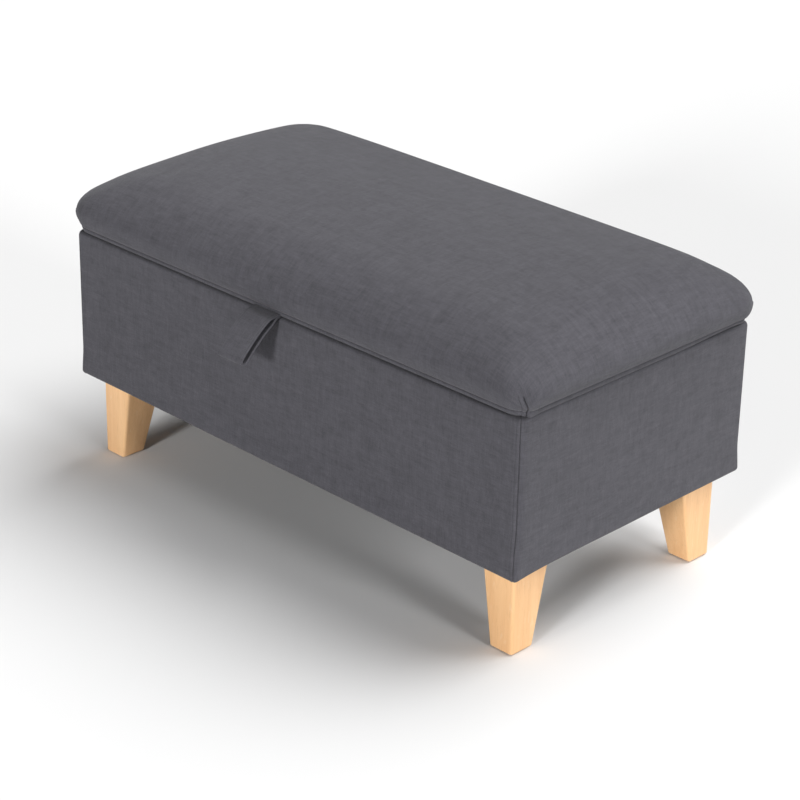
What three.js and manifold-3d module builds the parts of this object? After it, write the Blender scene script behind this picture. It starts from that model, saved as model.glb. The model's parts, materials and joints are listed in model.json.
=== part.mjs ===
// Storage bench: an upholstered box on four tapered wooden legs, with a domed padded lid hinged at the back.
// Lengths are in millimetres and angles in degrees. +X runs along the bench, -Y is its front and +Z is up.

import * as THREE from 'three';
import { mergeVertices } from 'three/addons/utils/BufferGeometryUtils.js';
import Module from 'manifold-3d';

const wasm = await Module();
wasm.setup();

// Clearances and cutting
const seat_gap = 0.3;
const cut_overrun = 2;
const round_segments = 16;

// Box, measured over its fabric
const base_length = 840;
const base_depth = 440;
const base_height = 216;
const base_corner_radius = 13;
const rim_edge_radius = 9;
const bottom_edge_radius = 6;
const side_padding = 4;
const rim_padding = 3;
const bottom_hem_thickness = 1.2;

// Wooden box inside the fabric
const panel_thickness = 15;
const floor_board_thickness = 9;
const corner_block_width = 96;
const corner_block_height = 28;
const lining_thickness = 0.8;
const lining_below_rim = 1;
const dust_cover_thickness = 1.2;

// Legs, whose two outward faces stand upright
const leg_height = 123;
const leg_top_length = 56;
const leg_top_depth = 66;
const leg_foot_length = 38;
const leg_foot_depth = 40;
const leg_edge_radius = 2.5;
const leg_inset_end = 22.5;
const leg_inset_side = 24;
const glide_thickness = 1.5;
const glide_radius = 12;
const glide_nail_radius = 1.5;
const glide_nail_length = 14;
const leg_bolt_radius = 4;
const leg_bolt_length = 62;
const leg_bolt_above_leg = 26;
const leg_bolt_point_length = 8;
const leg_bolt_point_radius = 1.5;

// Lid, from the gap up to the crown
const lid_gap = 4;
const lip_height = 5.3;
const lip_inset = 0.8;
const lip_edge_radius = 1.5;
const lip_corner_radius = 16;
const bulge_end = 14;
const bulge_side = 8;
const bulge_rise = 22.6;
const bulge_corner_radius = 44;
const roll_height = 46;
const roll_reach_end = 103;
const roll_reach_side = 76.5;
const roll_power_share = 1.8;
const crown_height = 24.6;
const crown_power_end_share = 6.4;
const crown_power_side_share = 2;
const seat_cover_thickness = 2;
const foam_clearance = 1.5;
const hem_width = 30;
const lid_board_thickness = 15;
const liner_thickness = 2;
const liner_margin = 7;
const liner_corner_radius = 6;

// Pull tab, a strip of the same fabric folded back on itself
const tab_offset = -24;
const tab_width = 48;
const tab_length = 80;
const tab_ply = 0.8;
const tab_belly_thickness = 10.4;
const tab_stitched_length = 12;
const tab_tip_length = 10;
const tab_slope = 37;
const tab_belly_share = 0.66;
const tab_standoff = 2.1;
const tab_anchor_length = 22;
const tab_steps = 16;

// Bumpers on the front rim
const bumper_radius = 4.5;
const bumper_from_end = 90;

// Butt hinges behind the back rim
const hinge_from_end = 160;
const hinge_length = 60;
const hinge_standoff = 5;
const hinge_leaf_thickness = 1.4;
const hinge_leaf_width = 19;
const hinge_end_knuckle_length = 18;
const hinge_knuckle_gap = 0.4;
const hinge_knuckle_wall = 1.4;
const hinge_knuckle_relief = 0.9;
const hinge_pin_radius = 1.5;
const hinge_pin_clearance = 0.25;
const hinge_pin_head_radius = 2.6;
const hinge_pin_head_thickness = 1;
const hinge_screw_spacing = 40;
const hinge_screw_radius = 1.6;
const hinge_screw_length = 14;
const hinge_screw_head_radius = 2.9;
const hinge_screw_head_height = 1.2;
const hinge_screw_point_length = 4;
const hinge_screw_point_radius = 0.4;

// Lid stays: an arm on the box and a link on the lid that stay parallel to the lid and to its hinge line
const stay_pivot_forward = 38;
const stay_pivot_below = 70;
const stay_lid_pivot_forward = 201;
const stay_lid_pivot_below = 14;
const stay_plate_thickness = 2;
const stay_bar_thickness = 2.5;
const stay_plane_gap = 0.5;
const stay_bar_half_width = 9;
const stay_plate_length = 34;
const stay_plate_height = 56;
const stay_plate_corner_radius = 5;
const stay_plate_offset = 8;
const stay_stud_radius = 3.2;
const stay_stud_clearance = 0.3;
const stay_head_radius = 6;
const stay_head_thickness = 1.4;
const stay_flange_length = 46;
const stay_flange_width = 22;

// Heights and half sizes that follow from the sizes above
const leg_foot_height = glide_thickness + seat_gap;
const leg_top_height = leg_foot_height + leg_height;
const base_bottom = leg_top_height + seat_gap;
const base_top = base_bottom + base_height;
const base_half_length = base_length / 2;
const base_half_depth = base_depth / 2;
const carcass_bottom = base_bottom + bottom_hem_thickness + seat_gap;
const carcass_top = base_top - rim_padding - seat_gap;
const carcass_half_length = base_half_length - side_padding - seat_gap;
const carcass_half_depth = base_half_depth - side_padding - seat_gap;
const carcass_corner_radius = base_corner_radius - side_padding - seat_gap;
const mouth_half_length = carcass_half_length - panel_thickness;
const mouth_half_depth = carcass_half_depth - panel_thickness;
const floor_board_bottom = carcass_bottom + corner_block_height + seat_gap;
const floor_board_top = floor_board_bottom + floor_board_thickness;
const lining_half_length = mouth_half_length - seat_gap;
const lining_half_depth = mouth_half_depth - seat_gap;
const lid_bottom = base_top + lid_gap;
const lip_top = lid_bottom + lip_height;
const bulge_level = lip_top + bulge_rise;
const bulge_half_length = base_half_length + bulge_end;
const bulge_half_depth = base_half_depth + bulge_side;
const hem_top = lid_bottom + seat_cover_thickness;
const lid_board_bottom = hem_top + seat_gap;
const foam_bottom = lid_board_bottom + lid_board_thickness + seat_gap;
const liner_bottom = lid_bottom - seat_gap - liner_thickness;
const bumper_from_middle = base_half_length - bumper_from_end;
const hinge_from_middle = base_half_length - hinge_from_end;
const hinge_axis_y = base_half_depth + hinge_standoff;
const hinge_axis_z = base_top + lid_gap / 2;
const hinge_knuckle_radius = hinge_pin_radius + hinge_pin_clearance + hinge_knuckle_wall;
const hinge_screw_y = carcass_half_depth - panel_thickness / 2;

// How many points a ring has: in each corner, and between corners along a long and a short side
const cushion_detail = { corner_steps: 3, long_points: 7, short_points: 3 };
const box_detail = { corner_steps: 4, long_points: 0, short_points: 0 };

// Rings of the cushion: shares of the way from the edge to the ridge, and of the way down to the seam
const crown_ring_shares = [0, 0.012, 0.04, 0.09, 0.16, 0.25, 0.42, 0.72];
const side_ring_shares = [1, 0.96, 0.85, 0.65, 0.35];
const inner_side_ring_shares = [1, 0.85, 0.6, 0.3];
const foam_side_ring_shares = [1, 0.5];

const finishes = {
  fabric: { color: 0x57575d, roughness: 0.95, metalness: 0 },
  lining: { color: 0x1d1d20, roughness: 0.95, metalness: 0 },
  leg_wood: { color: 0xe8bd8b, roughness: 0.5, metalness: 0 },
  board_wood: { color: 0xc9a877, roughness: 0.8, metalness: 0 },
  foam: { color: 0xe9e2c8, roughness: 1, metalness: 0 },
  steel: { color: 0x9a9c9f, roughness: 0.35, metalness: 0.9 },
  rubber: { color: 0x222222, roughness: 0.8, metalness: 0 },
  nylon: { color: 0xd8d4cc, roughness: 0.6, metalness: 0 },
};

const bench = new THREE.Group();

function addPiece(name, geometry, finish) {
  const piece = new THREE.Mesh(geometry, new THREE.MeshStandardMaterial(finishes[finish]));
  piece.name = name;
  bench.add(piece);
  return piece;
}

// Solids for joining and cutting
function solidOf(geometry) {
  const bare = geometry.clone();
  bare.deleteAttribute('normal');
  bare.deleteAttribute('uv');
  const merged = mergeVertices(bare);
  const mesh = new wasm.Mesh({
    numProp: 3,
    vertProperties: Float32Array.from(merged.attributes.position.array),
    triVerts: Uint32Array.from(merged.index.array),
  });
  return new wasm.Manifold(mesh);
}

function geometryOf(solid) {
  const mesh = solid.getMesh();
  const geometry = new THREE.BufferGeometry();
  geometry.setAttribute('position', new THREE.BufferAttribute(mesh.vertProperties, 3));
  geometry.setIndex(new THREE.BufferAttribute(mesh.triVerts, 1));
  geometry.computeVertexNormals();
  return geometry;
}

function join(first, ...others) {
  return geometryOf(others.reduce((solid, other) => solid.add(solidOf(other)), solidOf(first)));
}

function cut(body, ...cutters) {
  return geometryOf(cutters.reduce((solid, cutter) => solid.subtract(solidOf(cutter)), solidOf(body)));
}

function keepInside(body, region) {
  return geometryOf(solidOf(body).intersect(solidOf(region)));
}

// Simple shapes
function block(low, high) {
  const size = new THREE.Vector3().subVectors(high, low);
  const middle = new THREE.Vector3().addVectors(low, high).multiplyScalar(0.5);
  const geometry = new THREE.BoxGeometry(size.x, size.y, size.z);
  geometry.translate(middle.x, middle.y, middle.z);
  return geometry;
}

function point(x, y, z) {
  return new THREE.Vector3(x, y, z);
}

// A solid of revolution about +Z from [radius, height] pairs that start and end on the axis, lowest first
function turned(profile) {
  const outline = profile.map(([radius, height]) => new THREE.Vector2(radius, height));
  const geometry = new THREE.LatheGeometry(outline, round_segments);
  geometry.rotateX(Math.PI / 2);
  return geometry;
}

function rod(radius, low, high) {
  return turned([[0, low], [radius, low], [radius, high], [0, high]]);
}

// Turns a solid made along +Z so that it runs along +X
function alongX(geometry) {
  geometry.rotateY(Math.PI / 2);
  return geometry;
}

function roundedOutline(half_length, half_depth, radius) {
  const outline = new THREE.Shape();
  outline.absarc(half_length - radius, half_depth - radius, radius, 0, Math.PI / 2);
  outline.absarc(radius - half_length, half_depth - radius, radius, Math.PI / 2, Math.PI);
  outline.absarc(radius - half_length, radius - half_depth, radius, Math.PI, Math.PI * 3 / 2);
  outline.absarc(half_length - radius, radius - half_depth, radius, Math.PI * 3 / 2, Math.PI * 2);
  return outline;
}

function plate(outline, low, high) {
  const geometry = new THREE.ExtrudeGeometry(outline, {
    depth: high - low,
    bevelEnabled: false,
    curveSegments: box_detail.corner_steps,
  });
  geometry.translate(0, 0, low);
  return geometry;
}

// Points of a rounded rectangle at one height, anticlockwise seen from above
function roundedRing(half_length, half_depth, radius, height, detail) {
  const signs = [[1, 1], [-1, 1], [-1, -1], [1, -1]];
  const corners = signs.map(([sign_x, sign_y], quarter) => {
    const middle = point(sign_x * (half_length - radius), sign_y * (half_depth - radius), height);
    const arc = [];
    for (let step = 0; step <= detail.corner_steps; step += 1) {
      const angle = (quarter + step / detail.corner_steps) * Math.PI / 2;
      arc.push(point(middle.x + radius * Math.cos(angle), middle.y + radius * Math.sin(angle), height));
    }
    return arc;
  });
  const ring = [];
  corners.forEach((arc, quarter) => {
    const next_arc = corners[(quarter + 1) % corners.length];
    const between = quarter % 2 === 0 ? detail.long_points : detail.short_points;
    ring.push(...arc);
    for (let step = 1; step <= between; step += 1) {
      ring.push(arc.at(-1).clone().lerp(next_arc[0], step / (between + 1)));
    }
  });
  return ring;
}

function middleOf(ring) {
  return ring.reduce((sum, vertex) => sum.add(vertex), point(0, 0, 0)).divideScalar(ring.length);
}

// A closed solid through a chain of rings, whose first and last ring close in a fan about a middle point
function loft(rings, first_middle = middleOf(rings[0]), last_middle = middleOf(rings.at(-1))) {
  const count = rings[0].length;
  const positions = [...rings.flat(), first_middle, last_middle].flatMap((vertex) => vertex.toArray());
  const indices = [];
  for (let level = 0; level < rings.length - 1; level += 1) {
    for (let step = 0; step < count; step += 1) {
      const here = level * count + step;
      const beside = level * count + (step + 1) % count;
      indices.push(here, beside, beside + count);
      indices.push(here, beside + count, here + count);
    }
  }
  const last = (rings.length - 1) * count;
  const first_hub = rings.length * count;
  for (let step = 0; step < count; step += 1) {
    const beside = (step + 1) % count;
    indices.push(first_hub, beside, step);
    indices.push(first_hub + 1, last + step, last + beside);
  }
  const geometry = new THREE.BufferGeometry();
  geometry.setAttribute('position', new THREE.Float32BufferAttribute(positions, 3));
  geometry.setIndex(indices);
  geometry.computeVertexNormals();
  return geometry;
}

// Fabric of the box: one padded shell, cut into four panels at the seams beside the corners
function baseShell() {
  const rings = [];
  const arc_steps = box_detail.corner_steps;
  for (let step = 0; step <= arc_steps; step += 1) {
    const angle = step / arc_steps * Math.PI / 2;
    const inset = bottom_edge_radius * (1 - Math.sin(angle));
    const height = base_bottom + bottom_edge_radius * (1 - Math.cos(angle));
    rings.push(roundedRing(base_half_length - inset, base_half_depth - inset,
      base_corner_radius - inset, height, box_detail));
  }
  for (let step = 0; step <= arc_steps; step += 1) {
    const angle = step / arc_steps * Math.PI / 2;
    const inset = rim_edge_radius * (1 - Math.cos(angle));
    const height = base_top - rim_edge_radius * (1 - Math.sin(angle));
    rings.push(roundedRing(base_half_length - inset, base_half_depth - inset,
      base_corner_radius - inset, height, box_detail));
  }
  const core = plate(
    roundedOutline(base_half_length - side_padding, base_half_depth - side_padding,
      base_corner_radius - side_padding),
    base_bottom + bottom_hem_thickness,
    base_top - rim_padding,
  );
  const mouth = block(
    point(-mouth_half_length, -mouth_half_depth, base_bottom - cut_overrun),
    point(mouth_half_length, mouth_half_depth, base_top + cut_overrun),
  );
  return cut(loft(rings), core, mouth);
}

function hingeScrewPlaces() {
  const places = [];
  for (const side of [-1, 1]) {
    for (const end of [-1, 1]) {
      places.push({ side, end, x: side * hinge_from_middle + end * hinge_screw_spacing / 2 });
    }
  }
  return places;
}

// A cutter for the hinge screws' shafts between two heights
function screwHoles(low, high) {
  return hingeScrewPlaces().map(({ x }) => {
    const hole = rod(hinge_screw_radius + seat_gap, low, high);
    hole.translate(x, hinge_screw_y, 0);
    return hole;
  });
}

// The front and back panels stop at the seams; the end panels wrap round the corners to meet them
function addBaseCovers() {
  const shell = baseShell();
  const reach_x = base_half_length + cut_overrun;
  const reach_y = base_half_depth + cut_overrun;
  const low = base_bottom - cut_overrun;
  const high = base_top + cut_overrun;
  const seam_x = base_half_length - base_corner_radius;
  for (const [name, side] of [['front', -1], ['back', 1]]) {
    const rim_y = side * mouth_half_depth;
    const region = block(
      point(seat_gap - seam_x, Math.min(rim_y, side * reach_y), low),
      point(seam_x - seat_gap, Math.max(rim_y, side * reach_y), high),
    );
    const panel = keepInside(shell, region);
    const holes = side > 0 ? screwHoles(carcass_top, high) : [];
    addPiece(`base_cover_${name}`, cut(panel, ...holes), 'fabric');
  }
  for (const [name, side] of [['left', -1], ['right', 1]]) {
    const corners = block(
      point(Math.min(side * seam_x, side * reach_x), -reach_y, low),
      point(Math.max(side * seam_x, side * reach_x), reach_y, high),
    );
    const rim_x = side * (mouth_half_length - cut_overrun);
    const rim = block(
      point(Math.min(rim_x, side * reach_x), seat_gap - mouth_half_depth, low),
      point(Math.max(rim_x, side * reach_x), mouth_half_depth - seat_gap, high),
    );
    addPiece(`base_cover_${name}`, keepInside(shell, join(corners, rim)), 'fabric');
  }
}

// Wooden box: front and back panels run full length, the end panels stand between them
function addPanels() {
  const outline = roundedOutline(carcass_half_length, carcass_half_depth, carcass_corner_radius);
  const carcass = plate(outline, carcass_bottom, carcass_top);
  const low = carcass_bottom - cut_overrun;
  const high = carcass_top + cut_overrun;
  const front_region = block(
    point(-base_half_length, -base_half_depth, low),
    point(base_half_length, -mouth_half_depth, high),
  );
  const back_region = block(
    point(-base_half_length, mouth_half_depth, low),
    point(base_half_length, base_half_depth, high),
  );
  const hole_bottom = base_top - hinge_screw_length - seat_gap;
  const back = cut(keepInside(carcass, back_region), ...screwHoles(hole_bottom, high));
  addPiece('front_panel', keepInside(carcass, front_region), 'board_wood');
  addPiece('back_panel', back, 'board_wood');
  for (const [name, side] of [['left_end_panel', -1], ['right_end_panel', 1]]) {
    const inner = side * mouth_half_length;
    const outer = side * carcass_half_length;
    const panel = block(
      point(Math.min(inner, outer), seat_gap - mouth_half_depth, carcass_bottom),
      point(Math.max(inner, outer), mouth_half_depth - seat_gap, carcass_top),
    );
    addPiece(name, panel, 'board_wood');
  }
}

function addFloorAndLining() {
  const floor_board = block(
    point(-lining_half_length, -lining_half_depth, floor_board_bottom),
    point(lining_half_length, lining_half_depth, floor_board_top),
  );
  addPiece('floor_board', floor_board, 'board_wood');

  const lining_bottom = floor_board_top + seat_gap;
  const outside = block(
    point(-lining_half_length, -lining_half_depth, lining_bottom),
    point(lining_half_length, lining_half_depth, base_top - lining_below_rim),
  );
  const inside = block(
    point(lining_thickness - lining_half_length, lining_thickness - lining_half_depth,
      lining_bottom + lining_thickness),
    point(lining_half_length - lining_thickness, lining_half_depth - lining_thickness, base_top),
  );
  addPiece('storage_lining', cut(outside, inside), 'lining');
}

const leg_corners = [
  { name: 'front_left', side_x: -1, side_y: -1 },
  { name: 'front_right', side_x: 1, side_y: -1 },
  { name: 'back_left', side_x: -1, side_y: 1 },
  { name: 'back_right', side_x: 1, side_y: 1 },
];
const leg_outer_x = base_half_length - leg_inset_end;
const leg_outer_y = base_half_depth - leg_inset_side;
const leg_bolt_x = leg_outer_x - leg_top_length / 2;
const leg_bolt_y = leg_outer_y - leg_top_depth / 2;
const leg_nail_x = leg_outer_x - leg_foot_length / 2;
const leg_nail_y = leg_outer_y - leg_foot_depth / 2;
const leg_bolt_bottom = leg_top_height + leg_bolt_above_leg - leg_bolt_length;

// A tapered leg whose rounded outline shrinks towards its outward corner
function taperedLeg({ side_x, side_y }) {
  const middle_x = leg_bolt_x * side_x;
  const middle_y = leg_bolt_y * side_y;
  const top = roundedRing(leg_top_length / 2, leg_top_depth / 2, leg_edge_radius, leg_top_height, box_detail);
  const foot = roundedRing(leg_foot_length / 2, leg_foot_depth / 2, leg_edge_radius, leg_foot_height,
    box_detail);
  const foot_shift_x = side_x * (leg_top_length - leg_foot_length) / 2;
  const foot_shift_y = side_y * (leg_top_depth - leg_foot_depth) / 2;
  top.forEach((vertex) => vertex.add(point(middle_x, middle_y, 0)));
  foot.forEach((vertex) => vertex.add(point(middle_x + foot_shift_x, middle_y + foot_shift_y, 0)));
  return loft([foot, top]);
}

function addLegs() {
  const bolt_hole_radius = leg_bolt_radius + seat_gap;
  for (const corner of leg_corners) {
    const bolt_x = leg_bolt_x * corner.side_x;
    const bolt_y = leg_bolt_y * corner.side_y;
    const nail_x = leg_nail_x * corner.side_x;
    const nail_y = leg_nail_y * corner.side_y;

    const bolt_hole = rod(bolt_hole_radius, leg_bolt_bottom - seat_gap, leg_top_height + cut_overrun);
    bolt_hole.translate(bolt_x, bolt_y, 0);
    const nail_hole = rod(
      glide_nail_radius + seat_gap,
      leg_foot_height - cut_overrun,
      glide_thickness + glide_nail_length + seat_gap,
    );
    nail_hole.translate(nail_x, nail_y, 0);
    addPiece(`leg_${corner.name}`, cut(taperedLeg(corner), bolt_hole, nail_hole), 'leg_wood');

    const bolt_top = leg_bolt_bottom + leg_bolt_length;
    const bolt = turned([
      [0, leg_bolt_bottom],
      [leg_bolt_point_radius, leg_bolt_bottom],
      [leg_bolt_radius, leg_bolt_bottom + leg_bolt_point_length],
      [leg_bolt_radius, bolt_top],
      [0, bolt_top],
    ]);
    bolt.translate(bolt_x, bolt_y, 0);
    addPiece(`leg_bolt_${corner.name}`, bolt, 'steel');

    const glide = turned([
      [0, 0],
      [glide_radius, 0],
      [glide_radius, glide_thickness],
      [glide_nail_radius, glide_thickness],
      [glide_nail_radius, glide_thickness + glide_nail_length],
      [0, glide_thickness + glide_nail_length],
    ]);
    glide.translate(nail_x, nail_y, 0);
    addPiece(`leg_glide_${corner.name}`, glide, 'nylon');

    const outer_x = corner.side_x * lining_half_length;
    const outer_y = corner.side_y * lining_half_depth;
    const inner_x = outer_x - corner.side_x * corner_block_width;
    const inner_y = outer_y - corner.side_y * corner_block_width;
    const corner_block = block(
      point(Math.min(inner_x, outer_x), Math.min(inner_y, outer_y), carcass_bottom),
      point(Math.max(inner_x, outer_x), Math.max(inner_y, outer_y), carcass_bottom + corner_block_height),
    );
    const block_hole = rod(bolt_hole_radius, carcass_bottom - cut_overrun, bolt_top + seat_gap);
    block_hole.translate(bolt_x, bolt_y, 0);
    addPiece(`corner_block_${corner.name}`, cut(corner_block, block_hole), 'board_wood');
  }
}

function addDustCover() {
  const sheet = block(
    point(-lining_half_length, -lining_half_depth, base_bottom),
    point(lining_half_length, lining_half_depth, base_bottom + dust_cover_thickness),
  );
  const holes = leg_corners.map(({ side_x, side_y }) => {
    const hole = rod(
      leg_bolt_radius + seat_gap,
      base_bottom - cut_overrun,
      base_bottom + dust_cover_thickness + cut_overrun,
    );
    hole.translate(leg_bolt_x * side_x, leg_bolt_y * side_y, 0);
    return hole;
  });
  addPiece('dust_cover', cut(sheet, ...holes), 'lining');
}

// One ring of the lid's side, at a share of the way from its widest level down to the seam
function sideRing(drop_share, inset) {
  const draw_share = 1 - Math.sqrt(1 - drop_share ** 2);
  const radius = THREE.MathUtils.lerp(bulge_corner_radius, lip_corner_radius, draw_share);
  return roundedRing(
    bulge_half_length - bulge_end * draw_share - inset,
    bulge_half_depth - bulge_side * draw_share - inset,
    radius - inset,
    bulge_level - bulge_rise * drop_share,
    cushion_detail,
  );
}

// How far up its rolled edge the cushion is, as a share, at a distance in from its outline
function rollShare(distance, reach) {
  const near_share = THREE.MathUtils.clamp(distance / reach, 0, 1);
  return (1 - (1 - near_share) ** roll_power_share) ** (1 / roll_power_share);
}

// The crowned top, which rolls up from its outline and then rises gently to the middle
function crownPoint(x, y, inset) {
  const half_length = bulge_half_length - inset;
  const half_depth = bulge_half_depth - inset;
  const roll = rollShare(half_length - Math.abs(x), roll_reach_end)
    * rollShare(half_depth - Math.abs(y), roll_reach_side);
  const crown = (1 - (Math.abs(x) / half_length) ** crown_power_end_share)
    * (1 - (Math.abs(y) / half_depth) ** crown_power_side_share);
  return point(x, y, bulge_level + (roll_height - inset) * roll + crown_height * crown);
}

// One ring of the crown, at a share of the way from the widest outline in to the ridge
function crownRing(inward_share, inset) {
  const half_length = bulge_half_length - inset;
  const half_depth = bulge_half_depth - inset;
  const ridge = half_length - half_depth;
  const outline = roundedRing(half_length, half_depth, bulge_corner_radius - inset, 0, cushion_detail);
  return outline.map((vertex) => {
    const ridge_x = THREE.MathUtils.clamp(vertex.x, -ridge, ridge);
    return crownPoint(
      THREE.MathUtils.lerp(vertex.x, ridge_x, inward_share),
      vertex.y * (1 - inward_share),
      inset,
    );
  });
}

function lipRing(inset, radius_inset, height) {
  return roundedRing(
    base_half_length - inset,
    base_half_depth - inset,
    lip_corner_radius - radius_inset,
    height,
    cushion_detail,
  );
}

// Seat cover: a skin over foam and board that ends in a hem under the board
function addSeatCover() {
  const hem_radius_inset = lip_corner_radius - seat_cover_thickness;
  const inner = [
    ...crown_ring_shares.toReversed().map((share) => crownRing(share, seat_cover_thickness)),
    ...inner_side_ring_shares.toReversed().map((share) => sideRing(share, seat_cover_thickness)),
    lipRing(seat_cover_thickness, seat_cover_thickness, hem_top),
    lipRing(hem_width, hem_radius_inset, hem_top),
  ];
  const outer = [
    lipRing(hem_width, hem_radius_inset, lid_bottom),
    lipRing(lip_inset + lip_edge_radius, lip_edge_radius, lid_bottom),
    lipRing(lip_inset, lip_inset, lid_bottom + lip_edge_radius),
    ...side_ring_shares.map((share) => sideRing(share, 0)),
    ...crown_ring_shares.map((share) => crownRing(share, 0)),
  ];
  const skin = loft([...inner, ...outer], crownPoint(0, 0, seat_cover_thickness), crownPoint(0, 0, 0));
  const holes = screwHoles(lid_bottom - cut_overrun, lid_board_bottom);
  addPiece('seat_cover', cut(skin, ...holes), 'fabric');
}

function addSeatFoam() {
  const inset = seat_cover_thickness + foam_clearance;
  const bottom_share = (bulge_level - foam_bottom) / bulge_rise;
  const rings = [
    ...foam_side_ring_shares.map((share) => sideRing(share * bottom_share, inset)),
    ...crown_ring_shares.map((share) => crownRing(share, inset)),
  ];
  addPiece('seat_foam', loft(rings, middleOf(rings[0]), crownPoint(0, 0, inset)), 'foam');
}

function addLidBoardAndLiner() {
  const inset = seat_cover_thickness + seat_gap;
  const board = loft([
    lipRing(inset, inset, lid_board_bottom),
    lipRing(inset, inset, lid_board_bottom + lid_board_thickness),
  ]);
  const hole_top = lid_bottom + hinge_screw_length + seat_gap;
  const holes = screwHoles(lid_board_bottom - cut_overrun, hole_top);
  addPiece('lid_board', cut(board, ...holes), 'board_wood');

  const liner_outline = roundedOutline(
    mouth_half_length - liner_margin,
    mouth_half_depth - liner_margin,
    liner_corner_radius,
  );
  addPiece('lid_liner', plate(liner_outline, liner_bottom, liner_bottom + liner_thickness), 'lining');
}

// Half the tab's thickness at a distance from its root, for a loop that ends at the given distance
function tabHalf(distance, end, ply_inset) {
  const opened = THREE.MathUtils.clamp(
    (distance - tab_stitched_length) / (tab_length * tab_belly_share - tab_stitched_length), 0, 1);
  const swell = Math.sin(opened * Math.PI / 2) ** 2;
  const half = tab_ply + (tab_belly_thickness / 2 - tab_ply) * swell - ply_inset;
  const into_tip = THREE.MathUtils.clamp((distance - end + tab_tip_length) / tab_tip_length, 0, 1);
  return half * Math.sqrt(1 - into_tip ** 2);
}

// One side of the loop, from start to end, sampled closer together towards the tip
function tabSide(start, end, ply_inset) {
  const side = [];
  for (let step = 0; step <= tab_steps; step += 1) {
    const distance = start + (end - start) * Math.sin(step / tab_steps * Math.PI / 2);
    side.push(new THREE.Vector2(distance, tabHalf(distance, end, ply_inset)));
  }
  return side;
}

function mirrored(side) {
  return side.map(({ x, y }) => new THREE.Vector2(x, -y));
}

const tab_root_y = tab_standoff + base_half_depth;
const tab_root_z = lid_bottom - seat_gap - tab_ply;

function addPullTab() {
  const outline = new THREE.Shape();
  const outer_side = tabSide(0, tab_length, 0);
  outline.absarc(0, 0, tab_ply, Math.PI / 2, Math.PI * 3 / 2);
  mirrored(outer_side).slice(1).forEach(({ x, y }) => outline.lineTo(x, y));
  outer_side.slice(1, -1).toReversed().forEach(({ x, y }) => outline.lineTo(x, y));
  const slot_side = tabSide(tab_stitched_length + tab_belly_thickness, tab_length - tab_ply, tab_ply);
  outline.holes.push(new THREE.Path([...slot_side, ...mirrored(slot_side).toReversed().slice(1)]));
  const loop = new THREE.ExtrudeGeometry(outline, {
    depth: tab_width,
    bevelEnabled: false,
    curveSegments: box_detail.corner_steps,
  });
  const slope = THREE.MathUtils.degToRad(tab_slope);
  const outward = point(0, -Math.cos(slope), -Math.sin(slope));
  const sideways = point(1, 0, 0);
  const under = new THREE.Vector3().crossVectors(sideways, outward);
  loop.applyMatrix4(new THREE.Matrix4().makeBasis(outward, under, sideways));
  loop.translate(tab_offset - tab_width / 2, -tab_root_y, tab_root_z);
  addPiece('pull_tab', loop, 'fabric');

  const anchor_front = tab_ply + seat_gap - tab_root_y;
  const anchor = block(
    point(tab_offset - tab_width / 2, anchor_front, tab_root_z - tab_ply),
    point(tab_offset + tab_width / 2, anchor_front + tab_anchor_length, tab_root_z + tab_ply),
  );
  addPiece('pull_tab_sewn_end', anchor, 'fabric');
}

function addBumpers() {
  const rim_flat_middle = (mouth_half_depth + base_half_depth - rim_edge_radius) / 2;
  for (const [name, side] of [['lid_bumper_left', -1], ['lid_bumper_right', 1]]) {
    const bumper = rod(bumper_radius, base_top + seat_gap, lid_bottom - seat_gap);
    bumper.translate(side * bumper_from_middle, -rim_flat_middle, 0);
    addPiece(name, bumper, 'rubber');
  }
}

// A countersunk screw that points down from its head's top face
function countersunkScrew() {
  return turned([
    [0, -hinge_screw_length],
    [hinge_screw_point_radius, -hinge_screw_length],
    [hinge_screw_radius, hinge_screw_point_length - hinge_screw_length],
    [hinge_screw_radius, -hinge_screw_head_height],
    [hinge_screw_head_radius, 0],
    [0, 0],
  ]);
}

function screwCutter() {
  const radius = hinge_screw_radius + seat_gap;
  const head_radius = hinge_screw_head_radius + seat_gap;
  return turned([
    [0, -hinge_leaf_thickness - cut_overrun],
    [radius, -hinge_leaf_thickness - cut_overrun],
    [radius, -hinge_screw_head_height],
    [head_radius, 0],
    [head_radius, cut_overrun],
    [0, cut_overrun],
  ]);
}

// A knuckle round the hinge's axis between two places along it, with a tongue that joins it to its leaf
function knuckle(start, end, leaf_low, leaf_high) {
  const barrel = alongX(rod(hinge_knuckle_radius, start, end));
  barrel.translate(0, hinge_axis_y, hinge_axis_z);
  const tongue = block(
    point(start, hinge_axis_y - hinge_knuckle_radius - hinge_knuckle_relief - seat_gap, leaf_low),
    point(end, hinge_axis_y - hinge_pin_radius, leaf_high),
  );
  return [barrel, tongue];
}

function pinBore() {
  const reach = hinge_length / 2 + cut_overrun;
  const bore = alongX(rod(hinge_pin_radius + hinge_pin_clearance, -reach, reach));
  bore.translate(0, hinge_axis_y, hinge_axis_z);
  return bore;
}

// A leaf with its knuckles; facing is 1 where its screws' heads look up and -1 where they look down
function hingeLeaf(leaf_low, knuckle_spans, facing) {
  const leaf_high = leaf_low + hinge_leaf_thickness;
  const near_edge = hinge_axis_y - hinge_knuckle_radius - hinge_knuckle_relief;
  const flat = block(
    point(-hinge_length / 2, near_edge - hinge_leaf_width, leaf_low),
    point(hinge_length / 2, near_edge, leaf_high),
  );
  const knuckles = knuckle_spans.flatMap(([start, end]) => knuckle(start, end, leaf_low, leaf_high));
  const cutters = [-1, 1].map((end) => {
    const cutter = screwCutter();
    if (facing < 0) cutter.rotateX(Math.PI);
    cutter.translate(end * hinge_screw_spacing / 2, hinge_screw_y, facing < 0 ? leaf_low : leaf_high);
    return cutter;
  });
  return cut(join(flat, ...knuckles), pinBore(), ...cutters);
}

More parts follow.
